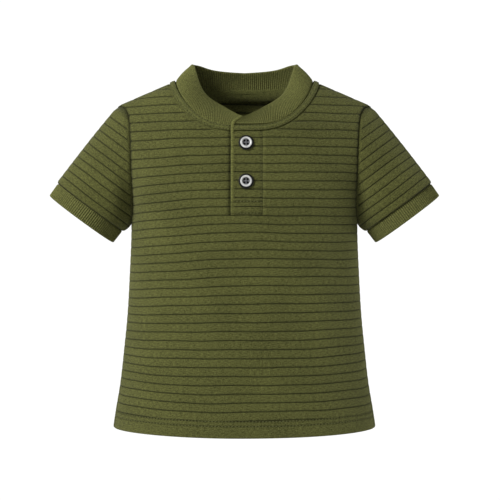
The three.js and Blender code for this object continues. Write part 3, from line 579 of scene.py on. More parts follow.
def panel(face, top, slots, slot_level):
    hem = HEM_Z + np.concatenate([[0, 0.3, 0.7, 1.2, 3, 5.5, 8, 9.4], np.arange(10, 14.9, 0.5)])
    levels = np.concatenate([hem, rib_rows(FIRST_GROOVE, top - 0.4), [top]])
    points, count = panel_rows(levels, face, slots)
    arc = arc_from(points, count)
    to_seam = np.minimum(arc - arc[:, :1], arc[:, -1:] - arc)
    grid_level = np.repeat(levels[:, None], points.shape[1], axis=1)
    lift, painted_shading = body_lift(points, grid_level, arc)
    normal = unit(gradient(points))
    at_arm = ((levels > ARM_BOTTOM_Z) & (levels < ARM_TOP_Z))[:, None, None]
    tuck = np.exp(-((to_seam / 1.3) ** 2))
    placed = points + normal * lift[..., None]
    placed += np.where(at_arm, into_armhole(points), -normal) * (SEAM_TUCK * tuck)[..., None]
    if face == FRONT:
        to_slot = np.abs(points[..., 0] - PLACKET_FREE_X)
        dip = np.exp(-((to_slot / 0.45) ** 2)) * (grid_level >= slot_level - 0.1)
        placed -= normal * (0.15 * dip)[..., None]
        # Painted shade along the placket slot's edge.
        tuck = np.maximum(tuck, 0.4 * dip)
    flat = np.stack([arc, grid_level], axis=-1)
    slot = int((levels < slot_level - 0.1).sum())

    def keep(row, column):
        return row < slot or not count - 1 <= column < count + 3

    # Painted shade between the ribs and along the seam edges where the cloth tucks in.
    return cloth_piece(placed, flat, np.clip(painted_shading + 0.7 * tuck, 0, 1), keep)


bm = panel(FRONT, CORNER_Z - 1.2, (0.05 - PLACKET_FREE_X, PLACKET_SEWN_X + 0.05), PLACKET_BOTTOM_Z)
front = finish_piece("front_panel", bm, JERSEY, CLOTH, upright_axis)
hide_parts("front")
bm = panel(BACK, NECK_LINES[BACK][-1, 2], (0, 0), NECK_LINES[BACK][0, 2])
back = finish_piece("back_panel", bm, JERSEY, CLOTH, upright_axis)
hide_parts("back")

# Sleeves. One panel each of the same jersey, sewn into the armhole and closed by a seam under the arm, its ribs
# parallel to the cuff.
ARM_GAP = 0.1
CUFF_SEAM = np.array([138.2, -3, -112.5])
SLOPE = np.radians(53.5)
SLEEVE_UP = np.array([np.sin(SLOPE), 0, np.cos(SLOPE)])
SLEEVE_AXIS = np.array([np.cos(SLOPE), 0, -np.sin(SLOPE)])
SLEEVE_HALF_WIDTH = 36.4
SLEEVE_HALF_DEPTH = 30
SLEEVE_BULGE = 1.0


def armhole_point(turn):
    """A point of the sleeve's upper ring at a turn from the top, 90 degrees at the back, 180 under the arm."""
    z = ARM_MIDDLE_Z + (ARM_TOP_Z - ARM_MIDDLE_Z - ARM_GAP) * np.cos(turn)
    y = ARM_Y + (ARM_HALF_DEPTH - ARM_GAP) * np.sin(turn)
    return body_point(turn_at(z, y), z) + np.array([ARM_GAP, 0, 0])


def cuff_ring(turn, distance, shrink):
    """A point of the sleeve's lower ring, carried on past the cuff's seam."""
    turn, distance, shrink = np.broadcast_arrays(turn, distance, shrink)
    high = ((SLEEVE_HALF_WIDTH - shrink) * np.cos(turn))[..., None] * SLEEVE_UP
    deep = ((SLEEVE_HALF_DEPTH - shrink) * np.sin(turn))[..., None] * np.array([0.0, 1, 0])
    return CUFF_SEAM + distance[..., None] * SLEEVE_AXIS + high + deep


def seam_distance(turn):
    return (CUFF_SEAM - armhole_point(turn)) @ SLEEVE_AXIS


def out_of_sleeve(turn):
    return np.cos(turn)[..., None] * SLEEVE_UP + np.sin(turn)[..., None] * np.array([0.0, 1, 0])


def sleeve_point(turn, distance):
    share = np.clip(distance / seam_distance(turn), 0, 1)
    swell = SLEEVE_BULGE * 4 * share * (1 - share) * smooth((np.cos(turn) + 1.2) / 1.2)
    low, high = cuff_ring(turn, 0 * turn, 0 * turn), armhole_point(turn)
    return low + (high - low) * share[..., None] + out_of_sleeve(turn) * swell[..., None]


def sleeve_normal(turn, distance):
    nearer = np.maximum(0, distance - 0.5)
    around = sleeve_point(turn + 0.02, distance) - sleeve_point(turn - 0.02, distance)
    along = sleeve_point(turn, nearer) - sleeve_point(turn, nearer + 0.5)
    n = unit(np.cross(around, along))
    return np.where((n * out_of_sleeve(turn)).sum(axis=-1, keepdims=True) < 0, -n, n)


SLEEVE_TOP = seam_distance(np.radians([-30.0, -15, 0, 15, 30])).min() - 1
SLEEVE_UNDER = float(seam_distance(np.array([np.pi]))[0])


def row_reach(distance, face):
    """How far round from the top a row reaches before the armhole cuts it."""
    low, high = np.zeros_like(distance), np.full_like(distance, np.pi)
    for _ in range(40):
        middle = (low + high) / 2
        inside = seam_distance(face * middle) > distance
        low, high = np.where(inside, middle, low), np.where(inside, high, middle)
    return np.where(distance <= SLEEVE_UNDER, np.pi, (low + high) / 2)


def sleeve_mesh(side):
    rows = np.sort([*rib_rows(0, SLEEVE_TOP - 0.4), SLEEVE_UNDER])
    rows = np.concatenate([rows[np.diff(rows, prepend=-1) > 0.12], [SLEEVE_TOP, 1000]])
    reach = np.minimum(rows, SLEEVE_TOP)
    t = (1 - np.cos(np.linspace(0, np.pi, 121))) / 2
    t = 0.5 * t + 0.5 * np.linspace(0, 1, 121)
    front_end, back_end = -row_reach(reach, -1), row_reach(reach, 1)
    turns = front_end[:, None] + (back_end - front_end)[:, None] * t
    to_armhole = seam_distance(turns)
    along = np.minimum(np.repeat(rows[:, None], len(t), axis=1), to_armhole)
    to_seam = to_armhole - along
    points = sleeve_point(turns, along)
    arc = arc_from(points, len(t) // 2)
    relief, painted_shading = rib_relief(along + 0.8 * wander(arc + 60, along + 200))
    pressed = 0.7 * np.exp(-((turns / 0.5) ** 2)) + 0.5 * smooth((np.abs(turns) - 2.4) / 0.5)
    relief = RIB_HEIGHT * 0.7 + (relief - RIB_HEIGHT * 0.7) * (1 - pressed)
    clear = smooth((to_seam - 0.5) / 4)
    tuck = np.exp(-((to_seam / 1.3) ** 2))
    at_cuff = np.exp(-((along / 1.0) ** 2))
    underarm = np.exp(-(((np.pi - np.abs(turns)) * 30 / 1.2) ** 2)) * (rows < SLEEVE_UNDER)[:, None]
    lift = relief * clear - 0.5 * at_cuff - 0.5 * underarm
    edge = into_armhole(armhole_point(turns)) * (SEAM_TUCK * tuck)[..., None]
    points = points + sleeve_normal(turns, along) * lift[..., None] + edge
    flat = np.stack([arc, along], axis=-1)
    points = points * np.array([side, 1, 1])
    # Painted shade between the ribs, along the armhole seam, at the cuff's seam and along the underarm seam.
    dark = np.clip(painted_shading * clear + 0.7 * tuck + 0.7 * at_cuff + 0.5 * underarm, 0, 1)
    return cloth_piece(points, flat, dark)


def sleeve_axis(side):
    def nearest(middle):
        centre = Vector(CUFF_SEAM * MM * np.array([side, 1, 1]))
        axis = Vector(SLEEVE_AXIS * np.array([side, 1, 1]))
        return centre + axis * (middle - centre).dot(axis)
    return nearest


for label, side in (("left", 1), ("right", -1)):
    sleeve = finish_piece(f"sleeve_panel_{label}", sleeve_mesh(side), JERSEY, CLOTH, sleeve_axis(side))
    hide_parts(f"sleeve_{label}")

# Seam allowances. The trimmed edges of the ribbed jersey inside each seam, pressed flat under it: round the
# armholes, down the sides and along the shoulders.
ALLOWANCE = 4.5
ALLOWANCE_DEPTH = 1.7
ALLOWANCE_THICK = 0.7
ARMHOLE_RADIUS = 45


def armhole_allowance(side):
    turns = np.linspace(0, 2 * np.pi, 121)
    edge = armhole_point(turns)
    down_sleeve = seam_distance(turns) - 3
    under_sleeve = sleeve_point(turns, down_sleeve) - sleeve_normal(turns, down_sleeve) * 1.8
    wider = 1 + ALLOWANCE / ARMHOLE_RADIUS
    z = ARM_MIDDLE_Z + (edge[:, 2] - ARM_MIDDLE_Z) * wider
    y = ARM_Y + (edge[:, 1] - ARM_Y) * wider
    under_panel = lifted(body_point(turn_at(z, y), z), -ALLOWANCE_DEPTH)
    rows = np.array([under_sleeve, edge + into_armhole(edge) * 2.2, under_panel]) * np.array([side, 1, 1])
    flat = np.stack(np.broadcast_arrays(turns * ARMHOLE_RADIUS, np.array([0, 3, 8.0])[:, None]), axis=-1)
    # Painted shade: the whole strip is darkened evenly.
    return cloth_piece(rows, flat, np.full(rows.shape[:2], 0.3))


def side_allowance(side):
    z = np.linspace(HEM_Z + 2, ARM_BOTTOM_Z - 2, 60)
    seam_y = outer_edge_y(z, 0)
    rows = []
    for shift in (-ALLOWANCE, 0, ALLOWANCE):
        rows.append(lifted(body_point(turn_at(z, seam_y + shift), z), -ALLOWANCE_DEPTH))
    flat = np.stack(np.broadcast_arrays(np.array([0, 4.5, 9.0])[:, None], z), axis=-1)
    rows = np.array(rows) * np.array([side, 1, 1])
    # Painted shade: the whole strip is darkened evenly.
    return cloth_piece(rows, flat, np.full(rows.shape[:2], 0.3))


def shoulder_allowance(side):
    rows = []
    for shift in (-ALLOWANCE, 0, ALLOWANCE):
        rows.append(lifted(onto_body(SHOULDER_LINE[3:46] + np.array([0, shift, 0])), -ALLOWANCE_DEPTH))
    rows = np.array(rows) * np.array([side, 1, 1])
    along = np.linspace(0, 55, rows.shape[1])
    flat = np.stack(np.broadcast_arrays(along, np.array([0, 4.5, 9])[:, None]), axis=-1)
    # Painted shade: the whole strip is darkened evenly.
    return cloth_piece(rows, flat, np.full(rows.shape[:2], 0.3))


for label, side in (("left", 1), ("right", -1)):
    shapes = {"armhole": armhole_allowance, "side": side_allowance, "shoulder": shoulder_allowance}
    for seam, shape in shapes.items():
        strip = finish_piece(f"{seam}_allowance_{label}", shape(side), JERSEY, ALLOWANCE_THICK, upright_axis)

# Cuffs. A band of fine upright rib knit on each sleeve, folded in two with its fold at the mouth. Its raw edges
# are sewn round the sleeve's end, and it is a little narrower than the sleeve.
FOLDED = 2.0
CUFF_DEPTH = 13.8
CUFF_STEP = 0.9
CUFF_TAPER = 0.3
FINE_RIB = 1.9
FINE_RIB_HEIGHT = 0.32
CUFF_RADIUS = 33
# The rib knit's colour is set lighter than the jersey's, in part as painted light for the collar front that faces
# the key light; the cuffs share it.
RIB_KNIT = cloth_material("Fine rib knit", (0.126, 0.130, 0.0385), 0.4, (0.0008, 0.0006), 0.4, 0.6)


def band_section(height, thick):
    """A folded band's outline from its outer foot over the fold to its inner foot.

    Gives each point's way up and in, its share of a rib's depth, and whether it is on the outer layer.
    """
    up = [0, 0.5, 1, 2, 4, 6, 8, 10, 12]
    rise = np.array([u / 13 for u in up] + [0.965, 0.99, 1.0, 0.99, 0.965] + [u / 13 for u in up[::-1]])
    rim = [0.06, 0.25, 0.5, 0.75, 0.94]
    inset = np.array([0.0] * len(up) + rim + [1.0] * len(up)) * thick
    ribs = np.array([0.3, 0.7, 1, 1, 1, 1, 1, 1, 1] + [0.8, 0.5, 0.4, 0.5, 0.8] + [1] * 9)
    outer = np.arange(len(rise)) <= rise.argmax()
    return rise * height, inset, ribs, outer


def fine_ribs(wave, depth, outer):
    """How far each point of a band of fine ribs stands out from the band."""
    return FINE_RIB_HEIGHT * wave * depth[:, None] * np.where(outer, 1, -1)[:, None]


def folded_band(points, flat, painted_light_and_shade):
    """A piece of cloth whose last row of points meets its first."""
    return cloth_piece(*(np.concatenate([a, a[:1]]) for a in (points, flat, painted_light_and_shade)))


def cuff_mesh(side):
    ribs_round = int(2 * np.pi * CUFF_RADIUS / FINE_RIB)
    turns = np.linspace(0, 2 * np.pi, ribs_round * 6 + 1)
    up, inset, depth, outer = band_section(CUFF_DEPTH - SEAM_GAP, FOLDED)
    wave = np.cos(ribs_round * turns)
    foot = 0.6 * np.exp(-((up / 0.9) ** 2)) * outer
    shrink = CUFF_STEP + inset + CUFF_TAPER * up / CUFF_DEPTH + foot
    points = cuff_ring(turns, (SEAM_GAP + up)[:, None], shrink[:, None] - fine_ribs(wave, depth, outer))
    flat = np.stack(np.broadcast_arrays(turns * CUFF_RADIUS, (up + inset * 3)[:, None]), axis=-1)
    # Painted shade between the fine ribs.
    painted_light_and_shade = np.clip(0.5 - 0.5 * wave, 0, 1) * depth[:, None] * 0.8
    return folded_band(points * np.array([side, 1, 1]), flat, painted_light_and_shade)


for label, side in (("left", 1), ("right", -1)):
    cuff = finish_piece(f"cuff_band_{label}", cuff_mesh(side), RIB_KNIT)
    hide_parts(f"cuff_{label}")

# Collar. A folded band of the same rib knit with its fold upwards, sewn round the neckline and standing on it. Its
# left end is lapped over its right end at the placket.

# Degrees round from the front middle, height of the band and its lean from level
COLLAR = np.array([
    (-6, 5, 40), (0, 11.8, 43), (1, 13.6, 43.5), (3, 16.0, 45.5), (6, 18.4, 48), (13, 22.5, 51),
    (25, 24.2, 53), (39, 24.5, 49), (56, 23.6, 45), (73, 22.6, 43), (90, 22.2, 45), (112, 22.5, 54),
    (135, 23, 62), (155, 20, 68), (180, 17.5, 74),
], dtype=float)
COLLAR_BULGE = 1.2
COLLAR_UNDERLAP = 9
COLLAR_LAP = 2.4
END_SLANT = 10
SLANT_REACH = 55


def neck_turn_at(x):
    """The turn, in degrees, at which the neckline reaches an x."""
    return np.degrees(np.arcsin((abs(x) / NECK_HALF) ** (NECK_SQUARE_FRONT / 2))) * np.sign(x)


def neck_stations(start, end, pitch):
    """Turns round the neck from one near the front, over the right and the back, evenly spaced on the seam."""
    fine = np.radians(np.linspace(start, -360 + end, 1500))
    length = length_along(neck_seam(fine))
    count = max(2, int(round(length[-1] / pitch)) + 1)
    spots = np.linspace(0, length[-1], count)
    return np.interp(spots, length, fine), spots


def collar_mesh():
    """The folded band with its ends cut on a slant, and the line of its upper end from foot to fold."""
    fine, line = neck_stations(neck_turn_at(COLLAR_UNDERLAP), neck_turn_at(PLACKET_FREE_X), FINE_RIB / 6)
    up, inset, depth, outer = band_section(1, FOLDED)
    slant = smooth(1 - line / SLANT_REACH) - smooth(1 - (line[-1] - line) / SLANT_REACH)
    turns = np.interp(line[None, :] + END_SLANT * up[:, None] * slant[None, :], line, fine)
    wrapped = (np.degrees(turns) + 180) % 360 - 180
    upper_side = turns < -np.pi
    at = np.where(upper_side, wrapped, -wrapped)
    lap = np.where(upper_side, COLLAR_LAP * smooth((25 - at) / 19), 0)
    height = read_curve(COLLAR[:, 0], COLLAR[:, 1], at)
    lean = np.radians(read_curve(COLLAR[:, 0], COLLAR[:, 2], at))
    seam, ahead = neck_seam(turns), along_neck(turns)
    inward = unit(np.stack([-ahead[..., 1], ahead[..., 0], 0 * turns], axis=-1))
    towards = -inward[..., 0] * seam[..., 0] + inward[..., 1] * (NECK_MIDDLE_Y - seam[..., 1])
    inward = np.where(towards[..., None] < 0, -inward, inward)
    upright = np.array([0.0, 0, 1])
    rise = inward * np.cos(lean)[..., None] + upright * np.sin(lean)[..., None]
    face = -inward * np.sin(lean)[..., None] + upright * np.cos(lean)[..., None]
    bow = COLLAR_BULGE * 4 * up * (1 - up)
    wave = np.cos(2 * np.pi * line / FINE_RIB)
    out = (bow - inset)[:, None] + fine_ribs(wave, depth, outer)
    out = out - 0.3 * (np.exp(-((up / 0.05) ** 2)) * outer)[:, None]
    above = SEAM_GAP + up[:, None] * (height - 0.75 * lap)
    points = seam + rise * above[..., None] + face * (out + lap)[..., None]
    flat = np.stack(np.broadcast_arrays(line[None, :], (up * 22 + inset * 3)[:, None]), axis=-1)
    # Painted highlight: the upper end's edge is lightened over its last few mm; painted shade between the fine
    # ribs.
    painted_highlight = 0.7 * np.exp(-(((line[-1] - line) / 1.6) ** 2))
    painted_light_and_shade = np.clip(0.5 - 0.5 * wave, 0, 1) * depth[:, None] * 0.8 - painted_highlight
    return close_ends(folded_band(points, flat, painted_light_and_shade)), points[1:12, -4]


bm, COLLAR_END = collar_mesh()
collar = finish_piece("collar_band", bm, RIB_KNIT)
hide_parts("collar")

# Neck binding and neck tape. Narrow strips of plain jersey with their edges turned under. The binding covers
# the collar's seam outside, and the tape covers it inside the back.
BINDING_THICK = 1.0
BINDING_START_X = 12
BINDING_OVER = 0.55
PLACKET_LIFT = 0.6
TAPE_WIDTH = 8
TAPE_LEVEL = -3.9
TAPE_TOP = -3.3
TAPE_TOP_LEVEL = -1.4
TAPE_END_TURN = 88
PLAIN = cloth_material("Plain jersey", (0.094, 0.098, 0.0280), 0.42, (0.0009, 0.0007), 0.7, 0.7)


def neck_strip(turns, spots, near, far, level, thick):
    """A rounded strip that follows the neckline between two distances below the collar's seam."""
    half = [0, 0.02, 0.08, 0.16, 0.24, 0.34, 0.5]
    share = np.array(half + [0.66, 0.76, 0.84, 0.92, 0.98, 1] + [0.98, 0.5, 0.02, 0])
    rise = [0.3, 0.7, 0.96, 0.74, 0.74, 1.05]
    high = np.array(rise + [1.16] + rise[::-1] + [0, 0, 0, 0.3])
    near_level, far_level = level
    rows = []
    for s, h in zip(share, high):
        out = near_level + (far_level - near_level) * s + h * thick
        rows.append(neck_point(turns, near + (far - near) * s, out))
    flat = np.stack(np.broadcast_arrays(spots[None, :], (share * (far - near) + high)[:, None]), axis=-1)
    # Painted shade along the strip's stitched lines and its edges.
    painted_light_and_shade = np.zeros(flat.shape[:2])
    painted_light_and_shade[3:5] = painted_light_and_shade[8:10] = 0.7
    painted_light_and_shade[0] = painted_light_and_shade[12] = 0.5
    return close_ends(cloth_piece(np.array(rows), flat, painted_light_and_shade))


def binding_stations(pitch):
    """Turns along the binding, their distances, and its level, raised where it crosses the placket."""
    turns, spots = neck_stations(-neck_turn_at(BINDING_START_X), neck_turn_at(PLACKET_FREE_X), pitch)
    wrapped = (np.degrees(turns) + 180) % 360 - 180
    over_placket = np.where(turns < -np.pi, smooth((neck_turn_at(PLACKET_SEWN_X + 5) - wrapped) / 8), 0)
    return turns, spots, BINDING_OVER + PLACKET_LIFT * over_placket


turns, spots, level = binding_stations(1.2)
bm = neck_strip(turns, spots, SEAM_GAP, BINDING_WIDTH, (level, level), BINDING_THICK)
binding = finish_piece("neck_binding_strip", bm, PLAIN)
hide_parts("neck_binding")
turns, spots = neck_stations(-TAPE_END_TURN, TAPE_END_TURN, 1.5)
bm = neck_strip(turns, spots, TAPE_TOP, TAPE_WIDTH, (TAPE_TOP_LEVEL, TAPE_LEVEL), CLOTH)
tape = finish_piece("neck_tape_strip", bm, PLAIN)
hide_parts("neck_tape")

# Placket. Two folded strips of the ribbed jersey in the front's slit: the top one laps over and has the
# buttonholes, the under one carries the buttons. The top one's foot is stitched down in a box.
UNDER_X = (-15.5, 13)
UNDER_TAIL = 6
TOP_STRIP_THICK = 1.0
UNDER_LEVEL = -1.7
UNDER_THICK = 1.6
BOX_STITCHES_Z = (-109.4, -119.6)
STITCH_INSET = 1.3


def placket_mesh(x0, x1, bottom, outer, ribbed, free_dip, sewn_dip):
    """A strip that lies on the front's form, its free edge rounded and its sewn edge and foot drawn down."""
    turn = np.radians(neck_turn_at(abs(x0 + x1) / 2 + 6))
    top = float(neck_point(np.array([turn]), PANEL_NECK_SETBACK, 0)[0, 2])
    first = FIRST_GROOVE + RIB_PITCH * np.floor((bottom - FIRST_GROOVE) / RIB_PITCH)
    levels = rib_rows(first, top)
    levels = np.concatenate([bottom + np.array([0, 0.3, 0.7]), levels[levels > bottom + 1], [top]])
    t = np.array([0, 0.012, 0.03, 0.06, 0.1, *np.linspace(0.14, 0.86, 19), 0.9, 0.94, 0.97, 0.988, 1])
    x = np.repeat((x0 + (x1 - x0) * t)[None, :], len(levels), axis=0)
    level = np.repeat(levels[:, None], len(t), axis=1)
    z = level + row_dip(x, level)
    p = front_point(x, z)
    free_rim = 1 - np.sqrt(1 - np.clip(1 - (x - x0) / 1.0, 0, 1) ** 2)
    sewn = np.exp(-((np.minimum(x1 - x, level - bottom) / 0.6) ** 2))
    relief, painted_shading, stitched = np.zeros_like(x), np.zeros_like(x), np.zeros_like(x)
    if ribbed:
        relief, painted_shading = rib_relief(level + wander(x + 9, level + 60) - FIRST_GROOVE)
        clear = clear_of_neck(p)
        rolled = np.exp(-(((x - x0 - 1.5) / 1.5) ** 2))
        relief = relief * clear * (1 - 0.75 * rolled) + 1.35 * rolled
        # Painted highlight along the rolled free edge, where the shading mask goes negative.
        painted_shading = painted_shading * clear * (1 - rolled) - 0.6 * rolled
        inside_box = smooth((BOX_STITCHES_Z[0] + 1 - level) / 0.5)
        stitched = 0.7 * np.exp(-(((x1 - STITCH_INSET - x) / 0.55) ** 2))
        stitched = np.maximum(stitched, np.exp(-(((x - x0 - STITCH_INSET) / 0.55) ** 2)) * inside_box)
        for row_z in BOX_STITCHES_Z:
            stitched = np.maximum(stitched, np.exp(-(((level - row_z) / 0.55) ** 2)))
    lift = outer + relief - free_dip * free_rim - sewn_dip * sewn - 0.4 * stitched
    # Painted shade between the ribs, along the sewn edge and the stitched rows; painted highlight on the rolled
    # edge.
    dark = np.clip(painted_shading + sewn_dip * sewn + 0.8 * stitched, -1, 1)
    return cloth_piece(lifted(p, lift), np.stack([x, level], axis=-1), dark)


bm = placket_mesh(PLACKET_FREE_X, PLACKET_SEWN_X, PLACKET_BOTTOM_Z + SEAM_GAP, 0.3, True, 1.3, 0.25)
placket_top = finish_piece("placket_top_strip", bm, JERSEY, TOP_STRIP_THICK, upright_axis)
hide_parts("placket_top")
bm = placket_mesh(*UNDER_X, PLACKET_BOTTOM_Z - UNDER_TAIL, UNDER_LEVEL, False, 0.4, 0.4)
placket_under = finish_piece("placket_under_strip", bm, JERSEY, UNDER_THICK - 0.2, upright_axis)
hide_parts("placket_under")

# The placket's folded edge. The top strip's fold is a soft roll of ribbed jersey, carried on over the binding's
# end and up the collar's slanted end, which it wraps.
ROLL_HALF_WIDTH = 1.45
ROLL_HALF_THICK = 1.0

# Heights on the placket where the roll leaves it, and how far it stands out there
ROLL_FOOT = np.array([(-54, 0.2), (-52.5, 0.5), (-51, 0.9), (-49.5, 1.4), (-48, 1.7), (-46.5, 1.8)])


def folded_edge():
    """A flattened roll from the placket over the binding's end to the collar's fold."""
    foot = lifted(front_point(PLACKET_FREE_X + ROLL_HALF_WIDTH, ROLL_FOOT[:, 0]), ROLL_FOOT[:, 1])
    path = np.concatenate([foot, COLLAR_END[2:]])
    spots = np.linspace(0, length_along(path)[-1], 40)
    path = points_along(path, spots)
    for _ in range(12):
        path[1:-1] = (path[:-2] + 2 * path[1:-1] + path[2:]) / 4
    ahead = unit(np.gradient(path, axis=0))
    out = unit(gradient(path))
    aside = unit(np.cross(ahead, out))
    turn = np.linspace(0, 2 * np.pi, 13)[:, None, None]
    slim = np.clip(np.minimum(spots, spots[-1] - spots) / 2.5, 0.15, 1)[:, None] ** 0.5
    rows = path + slim * (aside * ROLL_HALF_WIDTH * np.cos(turn) + out * ROLL_HALF_THICK * np.sin(turn))
    flat = np.stack(np.broadcast_arrays(turn[..., 0] * 1.5, spots), axis=-1)
    # Painted highlight: the whole roll is lightened.
    return close_ends(cloth_piece(rows, flat, np.full(rows.shape[:2], -0.55)))


folded_roll = finish_piece("placket_folded_edge", folded_edge(), JERSEY)

# Buttons. Two four-hole resin shirt buttons, turned and drilled: a thin dark rim, a broad pearl ring and a dark
# dished middle. They are sewn on with black thread.
BUTTON_X = 1.7
BUTTON_ZS = (-59.0, -92.1)
BUTTON_RADIUS = 6.6
BUTTON_THICK = 2.4
RIM = 1.6
WELL = 3.1
WELL_DEPTH = 0.8
WELL_FLOOR = BUTTON_THICK - WELL_DEPTH
HOLE_AT = 1.95
HOLE_RADIUS = 0.95
HOLE_TURNS = np.radians([45, 135, 225, 315])

# Radius and height of the button's outline, from its underside round the rim to the well's floor
BUTTON_OUTLINE = [
    (BUTTON_RADIUS - RIM, 0), (BUTTON_RADIUS - 0.3, 0.35), (BUTTON_RADIUS, 0.9),
    (BUTTON_RADIUS - 0.05, BUTTON_THICK - 1.1), (BUTTON_RADIUS - 0.4, BUTTON_THICK - 0.75),
    (BUTTON_RADIUS - RIM, BUTTON_THICK - 0.6), (BUTTON_RADIUS - RIM - 0.05, BUTTON_THICK - 0.2),
    (BUTTON_RADIUS - RIM - 0.3, BUTTON_THICK), (WELL + 1.2, BUTTON_THICK), (WELL + 0.5, BUTTON_THICK - 0.12),
    (WELL + 0.15, BUTTON_THICK - 0.4), (WELL + 0.05, WELL_FLOOR + 0.1), (WELL, WELL_FLOOR),
]


def plain_material(name, colour, roughness, coat=0.0):
    material = bpy.data.materials.new(name)
    material.use_nodes = True
    shader = material.node_tree.nodes["Principled BSDF"]
    shader.inputs["Base Color"].default_value = (*colour, 1)
    shader.inputs["Roughness"].default_value = roughness
    shader.inputs["Specular IOR Level"].default_value = 0.5 if coat else 0.12
    shader.inputs["Coat Weight"].default_value = coat
    shader.inputs["Coat Roughness"].default_value = 0.15
    return material


PEARL = plain_material("Pearl resin", (0.52, 0.52, 0.50), 0.34, 0.4)
tree = PEARL.node_tree
cloudy = tree.nodes.new("ShaderNodeTexNoise")
cloudy.inputs["Scale"].default_value = 260
cloudy.inputs["Detail"].default_value = 3
placed = tree.nodes.new("ShaderNodeTexCoord")
ramp = tree.nodes.new("ShaderNodeValToRGB")
ramp.color_ramp.elements[0].color = (0.40, 0.40, 0.39, 1)
ramp.color_ramp.elements[1].color = (0.66, 0.66, 0.64, 1)
ramp.color_ramp.elements[0].position = 0.3
ramp.color_ramp.elements[1].position = 0.7
tree.links.new(placed.outputs["Object"], cloudy.inputs["Vector"])
tree.links.new(cloudy.outputs["Fac"], ramp.inputs["Fac"])
tree.links.new(ramp.outputs["Color"], tree.nodes["Principled BSDF"].inputs["Base Color"])
DARK_RESIN = plain_material("Dark resin", (0.010, 0.010, 0.008), 0.5)
SMOKE_RESIN = plain_material("Smoke resin", (0.11, 0.11, 0.115), 0.45)
# The holes' walls are near black: painted shade in the drilled holes.
HOLE_SHADE = plain_material("Button hole", (0.004, 0.004, 0.004), 0.9)
THREAD = plain_material("Black thread", (0.006, 0.006, 0.006), 0.9)
BUTTON_MATERIALS = [PEARL, DARK_RESIN, SMOKE_RESIN, HOLE_SHADE, THREAD]


def turned_rim(bm, profile):
    """The ring of a turned button from its outline of radius and height."""
    verts = [bm.verts.new((r * MM, 0, h * MM)) for r, h in profile]
    edges = [bm.edges.new(pair) for pair in zip(verts, verts[1:])]
    bmesh.ops.spin(bm, geom=verts + edges, cent=(0, 0, 0), axis=(0, 0, 1), angle=2 * np.pi, steps=48,
                   use_merge=True)
    for f in bm.faces:
        from_middle = f.calc_center_median().to_2d().length / MM
        dark = from_middle > BUTTON_RADIUS - RIM - 0.03 or f.calc_center_median().z < 0.3 * MM
        finish = DARK_RESIN if dark else (SMOKE_RESIN if from_middle < WELL + 0.1 else PEARL)
        f.material_index = BUTTON_MATERIALS.index(finish)


def hole_place(turn, height):
    return Matrix.Translation(Vector((HOLE_AT * np.cos(turn), HOLE_AT * np.sin(turn), height)) * MM)


def drilled_disc(bm, height, finish):
    """A flat round floor with four holes in it. Gives the edges of each hole."""
    rim = [e for e in bm.edges
           if e.is_boundary and all(abs(v.co.z - height * MM) < 0.01 * MM for v in e.verts)]
    holes = []
    for turn in HOLE_TURNS:
        place = hole_place(turn, height)
        made = bmesh.ops.create_circle(bm, segments=20, radius=HOLE_RADIUS * MM, matrix=place)
        holes.append(list({e for v in made["verts"] for e in v.link_edges}))
    filled = bmesh.ops.triangle_fill(bm, use_beauty=True, edges=rim + [e for hole in holes for e in hole])
    for f in filled["geom"]:
        if isinstance(f, bmesh.types.BMFace):
            f.material_index = BUTTON_MATERIALS.index(finish)
    return holes


def button_seat(z):
    """The button's place and tilt on the placket at a height."""
    point = front_point([BUTTON_X], [z])
    seat = soften(lifted(point, PLACKET_LIFT + SEAM_GAP + 0.1))[0] * MM
    normal = Vector(unit(gradient(point))[0])
    return Matrix.Translation(Vector(seat)) @ normal.to_track_quat("Z", "Y").to_matrix().to_4x4()


for label, z in zip(("upper", "lower"), BUTTON_ZS):
    bm = bmesh.new()
    turned_rim(bm, BUTTON_OUTLINE)
    below, above = drilled_disc(bm, 0, DARK_RESIN), drilled_disc(bm, WELL_FLOOR, SMOKE_RESIN)
    # Painted shade: each hole's wall takes the near-black material.
    for low, high in zip(below, above):
        for f in bmesh.ops.bridge_loops(bm, edges=low + high)["faces"]:
            f.material_index = BUTTON_MATERIALS.index(HOLE_SHADE)
    for turn in HOLE_TURNS:
        size = Matrix.Diagonal((HOLE_RADIUS * 0.9 * MM, HOLE_RADIUS * 0.9 * MM, 0.3 * MM, 1))
        made = bmesh.ops.create_uvsphere(bm, u_segments=12, v_segments=6, radius=1,
                                         matrix=hole_place(turn, WELL_FLOOR - 0.7) @ size)
        for f in {f for v in made["verts"] for f in v.link_faces}:
            f.material_index = BUTTON_MATERIALS.index(THREAD)
    bmesh.ops.recalc_face_normals(bm, faces=bm.faces)
    bmesh.ops.transform(bm, matrix=button_seat(z), verts=bm.verts)
    button = finish_piece(f"button_{label}_turned", bm, PEARL)
    for finish in BUTTON_MATERIALS[1:]:
        button.data.materials.append(finish)
    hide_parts(f"button_{label}")

# Stitching. Rows of cotton thread in the cloth's colour: two at the hem, one along each edge of the binding,
# those that hold the placket's sewn edge and its boxed foot, and one in front of each shoulder seam.
STITCH_PITCH = 2.9
STITCH_LENGTH = 1.9
STITCH_THICK = 0.6
BINDING_STITCHES = (1.28, 4.22)
COTTON = plain_material("Olive thread", (0.125, 0.130, 0.047), 0.85)


